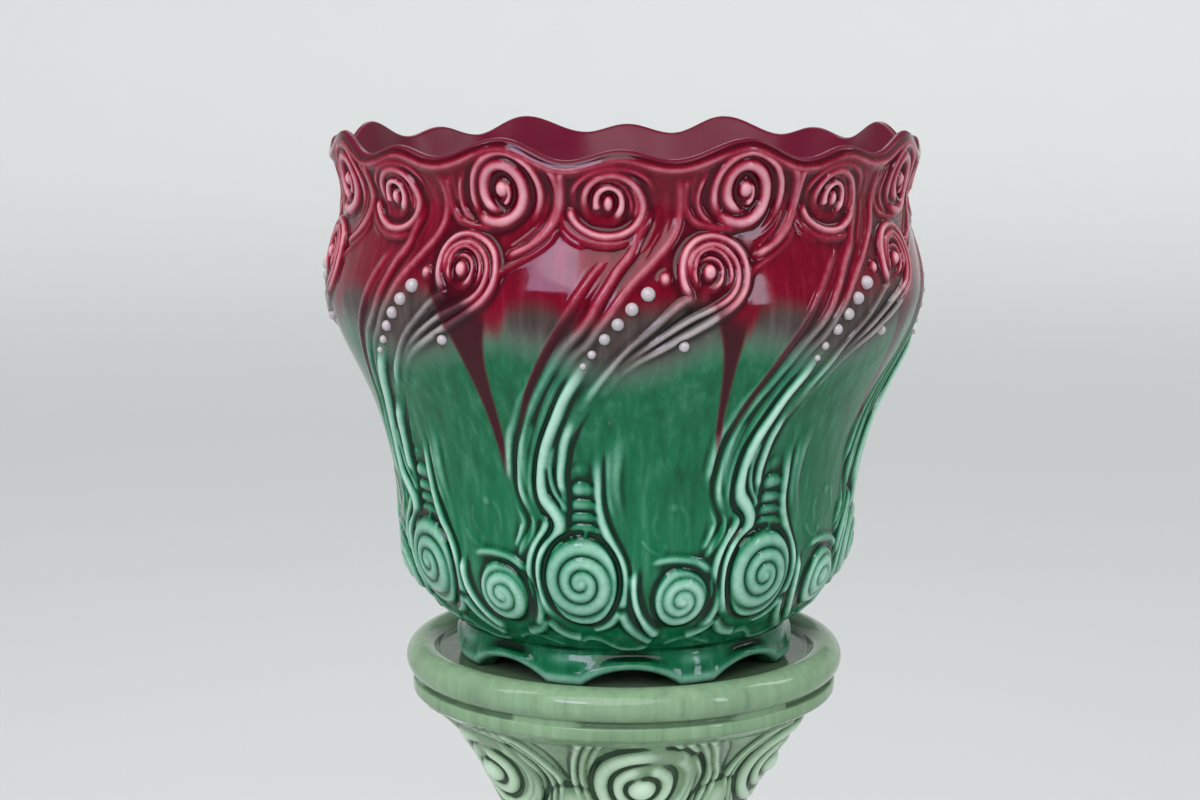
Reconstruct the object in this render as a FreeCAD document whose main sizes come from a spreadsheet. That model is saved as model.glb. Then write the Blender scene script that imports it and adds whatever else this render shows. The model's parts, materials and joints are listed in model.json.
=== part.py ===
import FreeCAD, Part
import math
import os

import Sketcher
from FreeCAD import Placement, Rotation, Vector

# Glazed earthenware jardiniere on its matching stand, in millimetres.
# The stand's foot is on z = 0, its axis is the Z axis, and the side that faces the
# viewer is -Y. Angles are in degrees round the axis: 0 is -Y and they grow towards +X.

doc = FreeCAD.newDocument("jardiniere_on_stand")
sheet = doc.addObject("Spreadsheet::Sheet", "sizes")

SIZES = [
    # Stand: dish that takes the bowl's foot
    ("dish_floor_height", 628.0),
    ("dish_floor_thick", 12.0),
    ("lip_ring_radius", 118.7),
    ("lip_tube_radius", 10.0),
    ("lip_drop", 3.0),
    ("lip_underside_drop", 8.2),
    ("slit_depth", 5.0),
    ("slit_height", 3.5),
    ("band_radius", 125.0),
    ("band_height", 4.0),
    ("cove_radius", 70.0),
    ("dish_depth", 30.0),
    ("dish_seam_radius", 112.0),
    ("stand_clay", 11.0),
    ("shelf_radius", 92.0),
    # Stand: shaft
    ("shoulder_drop", 20.0),
    ("shaft_shoulder_radius", 93.0),
    ("neck_drop", 68.0),
    ("shaft_neck_radius", 72.0),
    ("shaft_waist_radius", 60.0),
    ("shaft_flare_radius", 74.0),
    ("base_seam_radius", 98.0),
    ("base_seam_height", 104.0),
    # Stand: spreading base
    ("base_radius", 142.0),
    ("base_rim_height", 20.0),
    ("base_cove_radius", 110.0),
    ("base_arch_rise", 9.0),
    ("base_arch_width", 52.0),
    # Bowl
    ("bowl_height", 307.0),
    ("bowl_seam_rise", 22.0),
    ("foot_radius", 97.5),
    ("foot_top_radius", 95.0),
    ("foot_width", 15.0),
    ("foot_arch_rise", 10.0),
    ("foot_arch_width", 56.0),
    ("heel_radius", 114.5),
    ("bulb_radius", 127.5),
    ("waist_radius", 132.5),
    ("taper_radius", 150.5),
    ("belly_radius", 171.0),
    ("neck_radius", 160.0),
    ("rim_radius", 168.5),
    ("bowl_clay", 8.0),
    ("bowl_floor_thick", 12.0),
    ("rim_dip", 11.0),
    ("rim_small_dip", 5.5),
    # Applied relief
    ("relief_bed", 0.4),
    ("large_scroll_radius", 24.0),
    ("small_scroll_radius", 19.5),
    ("crest_scroll_radius", 17.0),
    ("heel_scroll_radius", 23.5),
    ("bud_scroll_radius", 17.0),
    ("scroll_bead", 3.4),
    ("scroll_crown", 5.5),
    ("rib_girth", 3.0),
    ("fine_rib_girth", 2.4),
    ("pearl_radius", 3.6),
    ("last_pearl_radius", 2.2),
    ("ladder_girth", 3.6),
    ("cartouche_radius", 25.0),
    ("chevron_girth", 2.1),
    ("stand_rib_girth", 3.0),
    ("base_scroll_radius", 24.0),
    ("base_bud_radius", 15.0),
]

DERIVED = [
    ("dish_seam_height", "=dish_floor_height - dish_depth"),
    ("shoulder_height", "=dish_seam_height - shoulder_drop"),
    ("neck_height", "=dish_seam_height - neck_drop"),
    ("waist_height", "=base_seam_height + 0.6 * (dish_seam_height - base_seam_height)"),
    ("flare_height", "=base_seam_height + 0.22 * (dish_seam_height - base_seam_height)"),
    ("lip_centre_height", "=dish_floor_height - lip_drop"),
    ("lip_inner_radius", "=lip_ring_radius - sqrt(lip_tube_radius ^ 2 - lip_drop ^ 2)"),
    ("lip_underside_height", "=lip_centre_height - lip_underside_drop"),
    ("lip_outer_radius", "=lip_ring_radius + sqrt(lip_tube_radius ^ 2 - lip_underside_drop ^ 2)"),
    ("slit_radius", "=lip_outer_radius - slit_depth"),
    ("slit_floor_height", "=lip_underside_height - slit_height"),
    ("band_floor_height", "=slit_floor_height - band_height"),
    ("dish_ceiling_height", "=dish_floor_height - dish_floor_thick"),
    ("dish_seam_inner", "=dish_seam_radius - stand_clay"),
    ("base_seam_inner", "=base_seam_radius - stand_clay"),
    ("base_inner_radius", "=base_radius - stand_clay"),
    ("bowl_seam_height", "=dish_floor_height + bowl_seam_rise"),
    ("foot_inner_radius", "=foot_radius - foot_width"),
    ("foot_arch_radius", "=(foot_arch_width ^ 2 / 4 + foot_arch_rise ^ 2) / (2 * foot_arch_rise)"),
    ("foot_arch_centre", "=dish_floor_height + foot_arch_rise - foot_arch_radius"),
    ("base_arch_radius", "=(base_arch_width ^ 2 / 4 + base_arch_rise ^ 2) / (2 * base_arch_rise)"),
    ("base_arch_centre", "=base_arch_rise - base_arch_radius"),
    ("base_cove_inner", "=base_cove_radius + stand_clay"),
]

for row, (name, value) in enumerate(SIZES + DERIVED, start=1):
    sheet.set("A%d" % row, name)
    sheet.set("B%d" % row, str(value))
    sheet.setAlias("B%d" % row, name)
doc.recompute()


def size(name):
    """A size from the sheet as a plain number of millimetres."""
    value = sheet.get(name)
    return float(getattr(value, "Value", value))


UP = Vector(0, 0, 1)
LEAVES = 8            # the bowl's ornament repeats eight times round
PANELS = 6            # the stand's ornament repeats six times round
LEAF_TURN = 360.0 / LEAVES
PANEL_TURN = 360.0 / PANELS
PANEL_START = 6.0     # angle of the panel that faces the viewer
FOOT_ARCH_START = 2.5  # angle of the arch in the bowl's foot that faces the viewer
DRAWN_BOWL = 307.0    # bowl height for which the ornament's heights are written


def lift(height):
    """Height in the frame of a point this far above the bowl's foot."""
    return size("dish_floor_height") + height * size("bowl_height") / DRAWN_BOWL


# ---------------------------------------------------------------- turned sections

def body_with_profile(label, corners, arcs):
    """A turned section: a closed profile in the XZ plane, turned once round Z.

    Each corner names its radius and its height in the sheet, or None for zero.
    arcs gives, for an edge number, its radius name, the side its middle bows to and
    whether it is the long way round its circle."""
    body = doc.addObject("PartDesign::Body", label)
    body.Label = label
    sketch = body.newObject("Sketcher::SketchObject", label + "_profile")
    plane = [f for f in body.Origin.OriginFeatures if f.Role == "XZ_Plane"][0]
    sketch.AttachmentSupport = [(plane, "")]
    sketch.MapMode = "FlatFace"
    spots = []
    for radius, height in corners:
        spots.append(Vector(size(radius) if radius else 0, size(height) if height else 0, 0))
    count = len(spots)
    for edge in range(count):
        start, end = spots[edge], spots[(edge + 1) % count]
        if edge in arcs:
            bend, side, long_way = arcs[edge]
            sketch.addGeometry(arc_between(start, end, size(bend), side, long_way), False)
        else:
            sketch.addGeometry(Part.LineSegment(start, end), False)
    ends = []
    for edge in range(count):
        ends.append(edge_ends(sketch.Geometry[edge], spots[edge]))
    for edge in range(count):
        follow = (edge + 1) % count
        sketch.addConstraint(Sketcher.Constraint("Coincident", edge, ends[edge][1], follow, ends[follow][0]))
    for edge, (radius, height) in enumerate(corners):
        pin(sketch, edge, ends[edge][0], "DistanceX", radius, -2)
        pin(sketch, edge, ends[edge][0], "DistanceY", height, -1)
    for edge, (bend, side, long_way) in arcs.items():
        number = sketch.addConstraint(Sketcher.Constraint("Radius", edge, size(bend)))
        sketch.setExpression("Constraints[%d]" % number, "<<sizes>>." + bend)
    turned = body.newObject("PartDesign::Revolution", label + "_turned")
    turned.Profile = sketch
    turned.ReferenceAxis = (sketch, ["V_Axis"])
    turned.Angle = 360.0
    doc.recompute()
    body.Tip = turned
    return body


def pin(sketch, edge, point, kind, name, axis):
    """Hold one end of an edge at a size from the sheet, or on the axis when it has none."""
    if name is None:
        sketch.addConstraint(Sketcher.Constraint("PointOnObject", edge, point, axis))
        return
    number = sketch.addConstraint(Sketcher.Constraint(kind, -1, 1, edge, point, size(name)))
    sketch.setExpression("Constraints[%d]" % number, "<<sizes>>." + name)


def arc_between(start, end, bend, side, long_way):
    """An arc of this radius between start and end, bowing to the given side."""
    chord = end - start
    half = chord.Length / 2.0
    normal = Vector(-chord.y, chord.x, 0).normalize() * side
    reach = math.sqrt(max(bend * bend - half * half, 0.0))
    centre = (start + end) * 0.5 + normal * (reach if long_way else -reach)
    circle = Part.Circle(centre, Vector(0, 0, 1), bend)
    angles = []
    for point in (start, end):
        angles.append(math.atan2(point.y - centre.y, point.x - centre.x))
    sweep = (angles[1] - angles[0]) % (2.0 * math.pi)
    if (sweep > math.pi) != long_way:
        angles.reverse()
        sweep = 2.0 * math.pi - sweep
    return Part.ArcOfCircle(circle, angles[0], angles[0] + sweep)


def edge_ends(curve, start):
    """Point numbers of an edge's first and last end, as the sketch counts them."""
    first = (curve.StartPoint - start).Length < (curve.EndPoint - start).Length
    return (1, 2) if first else (2, 1)


def arches(body, label, radius_name, centre_name, reach, count, start):
    """Round-headed arches cut outwards through a ring, spaced evenly round it."""
    sketch = body.newObject("Sketcher::SketchObject", label + "_arch")
    plane = [f for f in body.Origin.OriginFeatures if f.Role == "XZ_Plane"][0]
    sketch.AttachmentSupport = [(plane, "")]
    sketch.MapMode = "FlatFace"
    centre = Vector(0, size(centre_name), 0)
    sketch.addGeometry(Part.Circle(centre, Vector(0, 0, 1), size(radius_name)), False)
    sketch.addConstraint(Sketcher.Constraint("PointOnObject", 0, 3, -2))
    number = sketch.addConstraint(Sketcher.Constraint("DistanceY", -1, 1, 0, 3, size(centre_name)))
    sketch.setExpression("Constraints[%d]" % number, "<<sizes>>." + centre_name)
    number = sketch.addConstraint(Sketcher.Constraint("Radius", 0, size(radius_name)))
    sketch.setExpression("Constraints[%d]" % number, "<<sizes>>." + radius_name)
    pocket = body.newObject("PartDesign::Pocket", label + "_arches_one")
    pocket.Profile = sketch
    pocket.Type = 0
    pocket.Length = reach
    doc.recompute()
    body.Tip = pocket
    ring = body.newObject("PartDesign::PolarPattern", label + "_arches")
    ring.Originals = [pocket]
    ring.Axis = (sketch, ["V_Axis"])
    ring.Angle = 360.0
    ring.Occurrences = count
    body.Tip = ring
    doc.recompute()
    body.Placement = Placement(Vector(), Rotation(UP, start))
    doc.recompute()
    return body


dish = body_with_profile(
    "pedestal_dish",
    [
        (None, "dish_floor_height"),
        ("lip_inner_radius", "dish_floor_height"),
        ("lip_outer_radius", "lip_underside_height"),
        ("slit_radius", "lip_underside_height"),
        ("slit_radius", "slit_floor_height"),
        ("band_radius", "slit_floor_height"),
        ("band_radius", "band_floor_height"),
        ("dish_seam_radius", "dish_seam_height"),
        ("dish_seam_inner", "dish_seam_height"),
        ("shelf_radius", "dish_ceiling_height"),
        (None, "dish_ceiling_height"),
    ],
    {1: ("lip_tube_radius", 1, True), 6: ("cove_radius", -1, False)},
)

base = body_with_profile(
    "pedestal_base",
    [
        ("base_inner_radius", None),
        ("base_radius", None),
        ("base_radius", "base_rim_height"),
        ("base_seam_radius", "base_seam_height"),
        ("base_seam_inner", "base_seam_height"),
        ("base_inner_radius", "base_rim_height"),
    ],
    {2: ("base_cove_radius", 1, False), 4: ("base_cove_inner", -1, False)},
)
arches(base, "pedestal_base", "base_arch_radius", "base_arch_centre",
       2 * size("base_radius"), PANELS, PANEL_START)

foot = body_with_profile(
    "bowl_foot",
    [
        ("foot_inner_radius", "dish_floor_height"),
        ("foot_radius", "dish_floor_height"),
        ("foot_top_radius", "bowl_seam_height"),
        ("foot_inner_radius", "bowl_seam_height"),
    ],
    {},
)
arches(foot, "bowl_foot", "foot_arch_radius", "foot_arch_centre",
       2 * size("foot_radius"), LEAVES, FOOT_ARCH_START)


# ---------------------------------------------------------------- walls turned on a curve

def smooth(points):
    """A smooth curve through the points."""
    curve = Part.BSplineCurve()
    curve.interpolate(points)
    return curve


def inset(curve, depth, count):
    """A smooth curve this far inside the given wall curve."""
    first, last = curve.FirstParameter, curve.LastParameter
    points = []
    for step in range(count + 1):
        at = first + (last - first) * step / count
        way = curve.tangent(at)[0]
        inward = Vector(-abs(way.z), 0, way.x * (1 if way.z > 0 else -1))
        points.append(curve.value(at) + inward.normalize() * depth)
    return smooth(points)


def turned(edges):
    """The solid swept by a closed outline of edges turned once round Z."""
    face = Part.Face(Part.Wire(Part.__sortEdges__(edges)))
    return face.revolve(Vector(), UP, 360.0)


def line(start, end):
    return Part.LineSegment(start, end).toShape()


def add_part(label, shape):
    """One named part of the assembly."""
    part = doc.addObject("Part::Feature", label)
    part.Label = label
    part.Shape = shape
    return part


class Wall:
    """The outside of a turned section, as the ground that its relief is laid on."""

    def __init__(self, curve):
        self.points = curve.discretize(240)
        self.points.sort(key=lambda p: p.z)
        bedding = inset(curve, size("relief_bed"), 10)
        ends = [bedding.value(bedding.FirstParameter), bedding.value(bedding.LastParameter)]
        low, high = sorted(ends, key=lambda p: p.z)
        above = Vector(high.x, 0, high.z + 40.0)
        self.core = turned([bedding.toShape(), line(high, above), line(above, Vector(0, 0, above.z)),
                            line(Vector(0, 0, above.z), Vector(0, 0, low.z)), line(Vector(0, 0, low.z), low)])

    def radius(self, height):
        """Radius of the wall at this height."""
        for below, above in zip(self.points, self.points[1:]):
            if below.z <= height <= above.z:
                share = (height - below.z) / max(above.z - below.z, 1e-9)
                return below.x + share * (above.x - below.x)
        return self.points[0].x if height < self.points[0].z else self.points[-1].x

    def spot(self, degrees, height, proud=0.0):
        """The point on the wall at this angle and height, moved outwards by proud."""
        turn = math.radians(degrees)
        reach = self.radius(height) + proud
        return Vector(reach * math.sin(turn), -reach * math.cos(turn), height)

    def hollow(self, height, reach):
        """How far the wall dips behind a flat disc of this reach laid against it."""
        rim = (self.radius(height + reach) + self.radius(height - reach)) / 2.0
        return max(rim - self.radius(height), 0.0) / 2.0

    def seat(self, degrees, height, reach):
        """Placement of a disc on the wall, X to the viewer's right and Z out of the wall."""
        rise = self.radius(height + reach) - self.radius(height - reach)
        turn = math.radians(degrees)
        level = 2.0 * reach
        out = Vector(level * math.sin(turn), -level * math.cos(turn), -rise).normalize()
        right = UP.cross(out).normalize()
        spot = self.spot(degrees, height, self.hollow(height, reach))
        return Placement(spot, Rotation(right, out.cross(right), out, "ZXY"))


bowl_curve = smooth([
    Vector(size("foot_top_radius") + 2.0, 0, size("bowl_seam_height")),
    Vector(size("heel_radius"), 0, lift(38.0)),
    Vector(size("bulb_radius"), 0, lift(62.5)),
    Vector(size("waist_radius"), 0, lift(94.0)),
    Vector(size("taper_radius"), 0, lift(162.0)),
    Vector(size("belly_radius"), 0, lift(220.0)),
    Vector(size("neck_radius"), 0, lift(272.0)),
    Vector(size("rim_radius"), 0, lift(DRAWN_BOWL)),
])
bowl_inner = inset(bowl_curve, size("bowl_clay"), 12)
bowl_wall = Wall(bowl_curve)


def bowl_shape():
    """Round-bodied bowl with a thick wall, a flat floor and a wavy rim."""
    floor = size("bowl_seam_height") + size("bowl_floor_thick")
    outside = bowl_curve.value(bowl_curve.FirstParameter)
    rim_out = bowl_curve.value(bowl_curve.LastParameter)
    block = turned([bowl_curve.toShape(), line(rim_out, Vector(0, 0, rim_out.z)),
                    line(Vector(0, 0, rim_out.z), Vector(0, 0, outside.z)),
                    line(Vector(0, 0, outside.z), outside)])
    low_in = bowl_inner.value(bowl_inner.FirstParameter)
    rim_in = bowl_inner.value(bowl_inner.LastParameter)
    top = Vector(rim_in.x, 0, max(rim_out.z, rim_in.z) + 5.0)
    hollow = turned([bowl_inner.toShape(), line(rim_in, top), line(top, Vector(0, 0, top.z)),
                     line(Vector(0, 0, top.z), Vector(0, 0, low_in.z)), line(Vector(0, 0, low_in.z), low_in)])
    plug = Part.makeCylinder(2.0 * size("belly_radius"), floor - outside.z, Vector(0, 0, outside.z))
    shell = block.cut(hollow.cut(plug))
    for leaf in range(LEAVES):
        shell = shell.cut(rim_wave(LEAF_TURN * leaf))
    return shell


def rim_wave(middle):
    """What is cut away above one eighth of the rim: a low crest between two dips."""
    reach = size("rim_radius") * math.sin(math.radians(LEAF_TURN / 2.0))
    top = lift(DRAWN_BOWL)
    heights = [top, top - size("rim_dip"), top - size("rim_small_dip"), top - size("rim_dip"), top]
    points = []
    for step, height in enumerate(heights):
        points.append(Vector(reach * (step / 2.0 - 1.0), 0, height))
    wave = Part.BSplineCurve()
    wave.interpolate(Points=points, InitialTangent=Vector(1, 0, 0), FinalTangent=Vector(1, 0, 0))
    high = top + 10.0
    left, right = Vector(-reach, 0, high), Vector(reach, 0, high)
    outline = Part.Wire([wave.toShape(), line(points[-1], right), line(right, left), line(left, points[0])])
    block = Part.Face(outline).extrude(Vector(0, -2.0 * size("rim_radius"), 0))
    block.translate(Vector(0, -0.6 * size("rim_radius"), 0))
    block.rotate(Vector(), UP, middle)
    return block


bowl = add_part("bowl", bowl_shape())

shaft_curve = smooth([
    Vector(size("base_seam_radius"), 0, size("base_seam_height")),
    Vector(size("shaft_flare_radius"), 0, size("flare_height")),
    Vector(size("shaft_waist_radius"), 0, size("waist_height")),
    Vector(size("shaft_neck_radius"), 0, size("neck_height")),
    Vector(size("shaft_shoulder_radius"), 0, size("shoulder_height")),
    Vector(size("dish_seam_radius"), 0, size("dish_seam_height")),
])
shaft_wall = Wall(shaft_curve)


def shaft_shape():
    """Waisted shaft, hollow right through."""
    inner = inset(shaft_curve, size("stand_clay"), 12)
    low_out, high_out = shaft_wall.points[0], shaft_wall.points[-1]
    ends = [inner.value(inner.FirstParameter), inner.value(inner.LastParameter)]
    low_in, high_in = sorted(ends, key=lambda p: p.z)
    block = turned([shaft_curve.toShape(), line(high_out, Vector(0, 0, high_out.z)),
                    line(Vector(0, 0, high_out.z), Vector(0, 0, low_out.z)),
                    line(Vector(0, 0, low_out.z), low_out)])
    above = Vector(high_in.x, 0, high_out.z + 20.0)
    below = Vector(low_in.x, 0, low_out.z - 20.0)
    hollow = turned([inner.toShape(), line(high_in, above), line(above, Vector(0, 0, above.z)),
                     line(Vector(0, 0, above.z), Vector(0, 0, below.z)),
                     line(Vector(0, 0, below.z), below), line(below, low_in)])
    return block.cut(hollow)


shaft = add_part("pedestal_shaft", shaft_shape())


# ---------------------------------------------------------------- applied relief

RIB_RINGS = 12        # sections through which each rib is drawn


def rib(wall, stations, ends):
    """A rounded rib laid along the wall through (angle, height) stations.

    ends gives its girth at the first end, at its stoutest and at the last end."""
    path = smooth([wall.spot(*station) for station in stations])
    rings = []
    for step in range(RIB_RINGS):
        share = step / (RIB_RINGS - 1)
        at = path.FirstParameter + share * (path.LastParameter - path.FirstParameter)
        end = ends[0] if share < 0.5 else ends[2]
        girth = end + (ends[1] - end) * math.sin(math.pi * share)
        ahead, middle = path.tangent(at)[0], path.value(at)
        out = Vector(middle.x, middle.y, 0)
        out = (out - ahead * out.dot(ahead)).normalize()
        ring = Part.makeCircle(girth)
        ring.Placement = Placement(middle, Rotation(out, ahead.cross(out), ahead, "ZXY"))
        rings.append(Part.Wire([ring]))
    return Part.makeLoft(rings, True, False)


def scroll(wall, degrees, height, radius, bead, crown, hand=1):
    """A coiled bead of half rings on a low mound, climbing to a round eye."""
    halves = 4
    pitch = (radius - bead) / (halves + 0.4)
    reach, centre = radius - bead, 0.0
    pieces = []
    for number in range(halves):
        rise = 0.1 * bead + (crown - 0.6 * bead) * number / halves
        away = 1 if number % 2 == 0 else -1
        ring = Part.makeTorus(reach, bead, Vector(centre, 0, rise), UP, 0, 360, 180)
        if away < 0:
            ring.rotate(Vector(centre, 0, rise), UP, 180)
        pieces.append(ring)
        reach, centre = reach - pitch, centre - away * pitch
    pieces.append(Part.makeSphere(1.7 * bead, Vector(centre, 0, crown - 1.3 * bead)))
    deep = radius ** 2 / (2.0 * wall.radius(height)) + 2.0 * wall.hollow(height, radius) + bead
    ground = Part.makeCylinder(radius - bead, deep + 0.5 * bead, Vector(0, 0, -deep))
    piece = ground.fuse(pieces).Solids[0]
    if hand < 0:
        piece = piece.mirror(Vector(), Vector(1, 0, 0))
    piece.Placement = wall.seat(degrees, height, 0.8 * radius).multiply(piece.Placement)
    return piece


def laid(wall, shape):
    """The relief cut to the wall, so that its back beds on the clay.

    The wall is turned a little until its seam line is clear of the cut."""
    for seam in (90.0, 97.0, 111.0, 133.0, 171.0):
        core = wall.core.copy()
        core.rotate(Vector(), UP, seam)
        outer = sorted(shape.cut(core).Solids, key=lambda s: math.hypot(s.CenterOfMass.x, s.CenterOfMass.y))
        if outer and outer[-1].isValid() and outer[-1].Volume < 0.93 * shape.Volume:
            return outer[-1]
    raise RuntimeError("a piece of relief doesn't lie on its wall")


def round_the_ware(label, shapes, count, turn):
    """Copies of one leaf's relief, spaced evenly round the axis, as one part."""
    solids = []
    for number in range(count):
        for shape in shapes:
            for solid in shape.Solids:
                copy = solid.copy()
                copy.rotate(Vector(), UP, number * turn)
                solids.append(copy)
    return add_part(label, Part.makeCompound(solids))


def ribs(label, wall, stations, girth, count, turn):
    """One rib, drawn once and repeated round the ware. It thins towards both ends."""
    shape = laid(wall, rib(wall, stations, (0.55 * girth, girth, 0.45 * girth)))
    return round_the_ware(label, [shape], count, turn)


def scrolls(label, wall, degrees, height, radius, hand=1, count=LEAVES, turn=LEAF_TURN):
    """One scroll, drawn once and repeated round the ware."""
    bead = size("scroll_bead") * radius / size("large_scroll_radius")
    shape = scroll(wall, degrees, height, radius, bead, size("scroll_crown"), hand)
    return round_the_ware(label, [laid(wall, shape)], count, turn)


# Scrolls of the bowl: angle in the leaf that faces the viewer, and height above the foot.
scrolls("rim_scrolls_large", bowl_wall, -22.5, lift(281.5), size("large_scroll_radius"))
scrolls("rim_scrolls_small", bowl_wall, -2.7, lift(276.7), size("small_scroll_radius"))
scrolls("crest_scrolls", bowl_wall, 14.2, lift(239.6), size("crest_scroll_radius"))
scrolls("heel_scrolls", bowl_wall, -9.8, lift(68.5), size("heel_scroll_radius"), -1)
scrolls("bud_scrolls", bowl_wall, 14.2, lift(58.0), size("bud_scroll_radius"), -1)

# Ribs of the bowl, from their upper end down: angle, and height above the foot.
BOWL_RIBS = {
    "swirl_ribs_outer": [(5.2, 268), (1.3, 249), (-2.8, 232), (-7.8, 209), (-12.4, 193),
                         (-16.5, 176), (-20.0, 161), (-22.3, 144), (-23.5, 125), (-22.8, 110)],
    "swirl_ribs_inner": [(9.6, 276), (8.2, 255), (4.0, 242), (0.4, 230.6), (-4.6, 210.6),
                         (-8.7, 196), (-12.4, 180.6), (-15.7, 161), (-19.3, 141), (-20.6, 122), (-19.6, 106)],
    "pearl_ridges": [(-9.0, 184), (-11.5, 173), (-14.6, 153), (-16.5, 142), (-17.6, 127),
                     (-17.2, 115), (-15.2, 107), (-14.0, 101), (-15.0, 95.5)],
    "crest_tails": [(16.3, 217), (13.0, 213), (9.0, 207), (5.5, 201), (2.0, 194), (-0.5, 186.5),
                    (-3.0, 178)],
    "crest_veins": [(9.0, 220), (6.0, 214), (3.0, 206.5), (0.0, 199), (-2.5, 190), (-5.0, 181)],
    "panel_ribs": [(3.0, 172), (0.8, 157), (-1.0, 142), (-1.6, 127), (-1.0, 114), (0.5, 102), (3.0, 89),
                   (6.0, 80)],
    "flank_ribs": [(-5.1, 102.5), (-3.7, 96), (-1.8, 89), (0.3, 83), (2.3, 74), (2.9, 66), (3.4, 58),
                   (4.9, 50), (7.0, 43)],
}
STOUT_RIBS = ("swirl_ribs_outer", "swirl_ribs_inner", "crest_tails", "flank_ribs")
for label, stations in BOWL_RIBS.items():
    course = [(degrees, lift(height)) for degrees, height in stations]
    girth = size("rib_girth") if label in STOUT_RIBS else size("fine_rib_girth")
    ribs(label, bowl_wall, course, girth, LEAVES, LEAF_TURN)

# Pearls that fall beside the swirl, growing smaller, and one that stands alone.
PEARL_FALL = [(7.0, 235.7), (4.1, 228.2), (1.3, 220.5), (-1.1, 212.7), (-3.4, 205), (-5.8, 196.5),
              (-7.4, 191)]
LONE_PEARL = (10.5, 200.0)
LONE_PEARL_SHARE = 0.6    # how far its size is from the first pearl's towards the last one's
PEARL_PROUD = 0.3         # share of its radius by which a pearl's middle stands out of the wall


def pearl(degrees, height, share):
    """A pearl on the wall, its size this share of the way from the first to the last."""
    radius = size("pearl_radius") + share * (size("last_pearl_radius") - size("pearl_radius"))
    ball = Part.makeSphere(radius)
    proud = Placement(Vector(0, 0, PEARL_PROUD * radius), Rotation())
    ball.Placement = bowl_wall.seat(degrees, lift(height), radius).multiply(proud)
    return laid(bowl_wall, ball)


pearls = [pearl(*LONE_PEARL, LONE_PEARL_SHARE)]
for number, (degrees, height) in enumerate(PEARL_FALL):
    pearls.append(pearl(degrees, height, number / (len(PEARL_FALL) - 1)))
round_the_ware("pearls", pearls, LEAVES, LEAF_TURN)

# Three short bars, like the rungs of a ladder, above each heel scroll.
LADDER_MIDDLE = -9.5
rungs = []
for height, spread in ((131.7, 3.4), (119.4, 5.4), (110.8, 5.4)):
    level = lift(height)
    bar = Part.makeTorus(bowl_wall.radius(level), size("ladder_girth"), Vector(0, 0, level), UP,
                         0, 360, spread)
    bar.rotate(Vector(), UP, LADDER_MIDDLE - spread / 2.0 - 90.0)
    rungs.append(laid(bowl_wall, bar))
round_the_ware("ladder_beads", rungs, LEAVES, LEAF_TURN)

# Relief of the stand. Its chevrons fill the valleys between the cartouches.
CARTOUCHE_DROP = 30.0
V_MIDDLE = PANEL_START - 27.0
scrolls("shaft_cartouches", shaft_wall, PANEL_START, size("dish_seam_height") - CARTOUCHE_DROP,
        size("cartouche_radius"), 1, PANELS, PANEL_TURN)

legs = []
for side in (-1, 1):
    course = [(V_MIDDLE + side * away, size("dish_seam_height") - drop)
              for away, drop in ((7.5, 4.0), (5.0, 14.0), (2.2, 26.0))]
    girth = size("chevron_girth")
    legs.append(laid(shaft_wall, rib(shaft_wall, course, (girth, girth, 0.6 * girth))))
round_the_ware("shaft_chevrons", legs, PANELS, PANEL_TURN)

# Three ribs sweep together from each cartouche round the waist to the base. Each is
# drawn as angle past the panel's middle and share of the shaft's height.
SWEEP = [(15.0, 0.88), (12.0, 0.80), (3.0, 0.69), (-8.0, 0.58), (-17.0, 0.47), (-22.0, 0.36),
         (-21.0, 0.25), (-14.0, 0.14), (-6.0, 0.05)]
shaft_height = size("dish_seam_height") - size("base_seam_height")
for label, across in (("shaft_swirls_outer", -10.0), ("shaft_swirls_middle", 0.0),
                      ("shaft_swirls_inner", 10.0)):
    course = [(PANEL_START + across + degrees, size("base_seam_height") + share * shaft_height)
              for degrees, share in SWEEP]
    ribs(label, shaft_wall, course, size("stand_rib_girth"), PANELS, PANEL_TURN)

base_top = Vector(size("base_seam_radius"), 0, size("base_seam_height"))
base_low = Vector(size("base_radius"), 0, size("base_rim_height"))
chord = base_low - base_top
sag = size("base_cove_radius") - math.sqrt(size("base_cove_radius") ** 2 - chord.Length ** 2 / 4.0)
base_middle = (base_top + base_low) * 0.5 + Vector(chord.z, 0, -chord.x).normalize() * sag
base_wall = Wall(Part.Arc(base_low, base_middle, base_top))
halfway = (base_top.z + base_low.z) / 2.0
BUD_DROP = 8.0        # the buds' middles lie this far below the scrolls'
scrolls("base_scrolls", base_wall, PANEL_START, halfway, size("base_scroll_radius"), 1,
        PANELS, PANEL_TURN)
scrolls("base_buds", base_wall, PANEL_START + PANEL_TURN / 2.0, halfway - BUD_DROP,
        size("base_bud_radius"), -1, PANELS, PANEL_TURN)

# Bridges that join the band under the dish to its lip, one between each two panels.
BRIDGE_SPREAD = 18.0
CLEARANCE = 0.3
corners = []
for radius, height in (("slit_radius", "slit_floor_height"), ("lip_outer_radius", "slit_floor_height"),
                       ("lip_outer_radius", "lip_underside_height"), ("slit_radius", "lip_underside_height")):
    gap = CLEARANCE if radius == "slit_radius" else 0.0
    corners.append(Vector(size(radius) + gap, 0, size(height)))
bridge = Part.Face(Part.makePolygon(corners + corners[:1])).revolve(Vector(), UP, BRIDGE_SPREAD)
bridge.rotate(Vector(), UP, V_MIDDLE - BRIDGE_SPREAD / 2.0 - 90.0)
round_the_ware("dish_bridges", [bridge], PANELS, PANEL_TURN)


# ---------------------------------------------------------------- check and export

doc.recompute()
for item in doc.Objects:
    if "Invalid" in item.State or "Error" in item.State:
        raise RuntimeError("%s did not build" % item.Label)

os.makedirs("parts", exist_ok=True)
for item in doc.Objects:
    if item.TypeId not in ("PartDesign::Body", "Part::Feature"):
        continue
    if item.Shape.isNull() or not item.Shape.isValid():
        raise RuntimeError("%s has no sound shape" % item.Label)
    item.Shape.exportStep("parts/%s.step" % item.Label)
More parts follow.
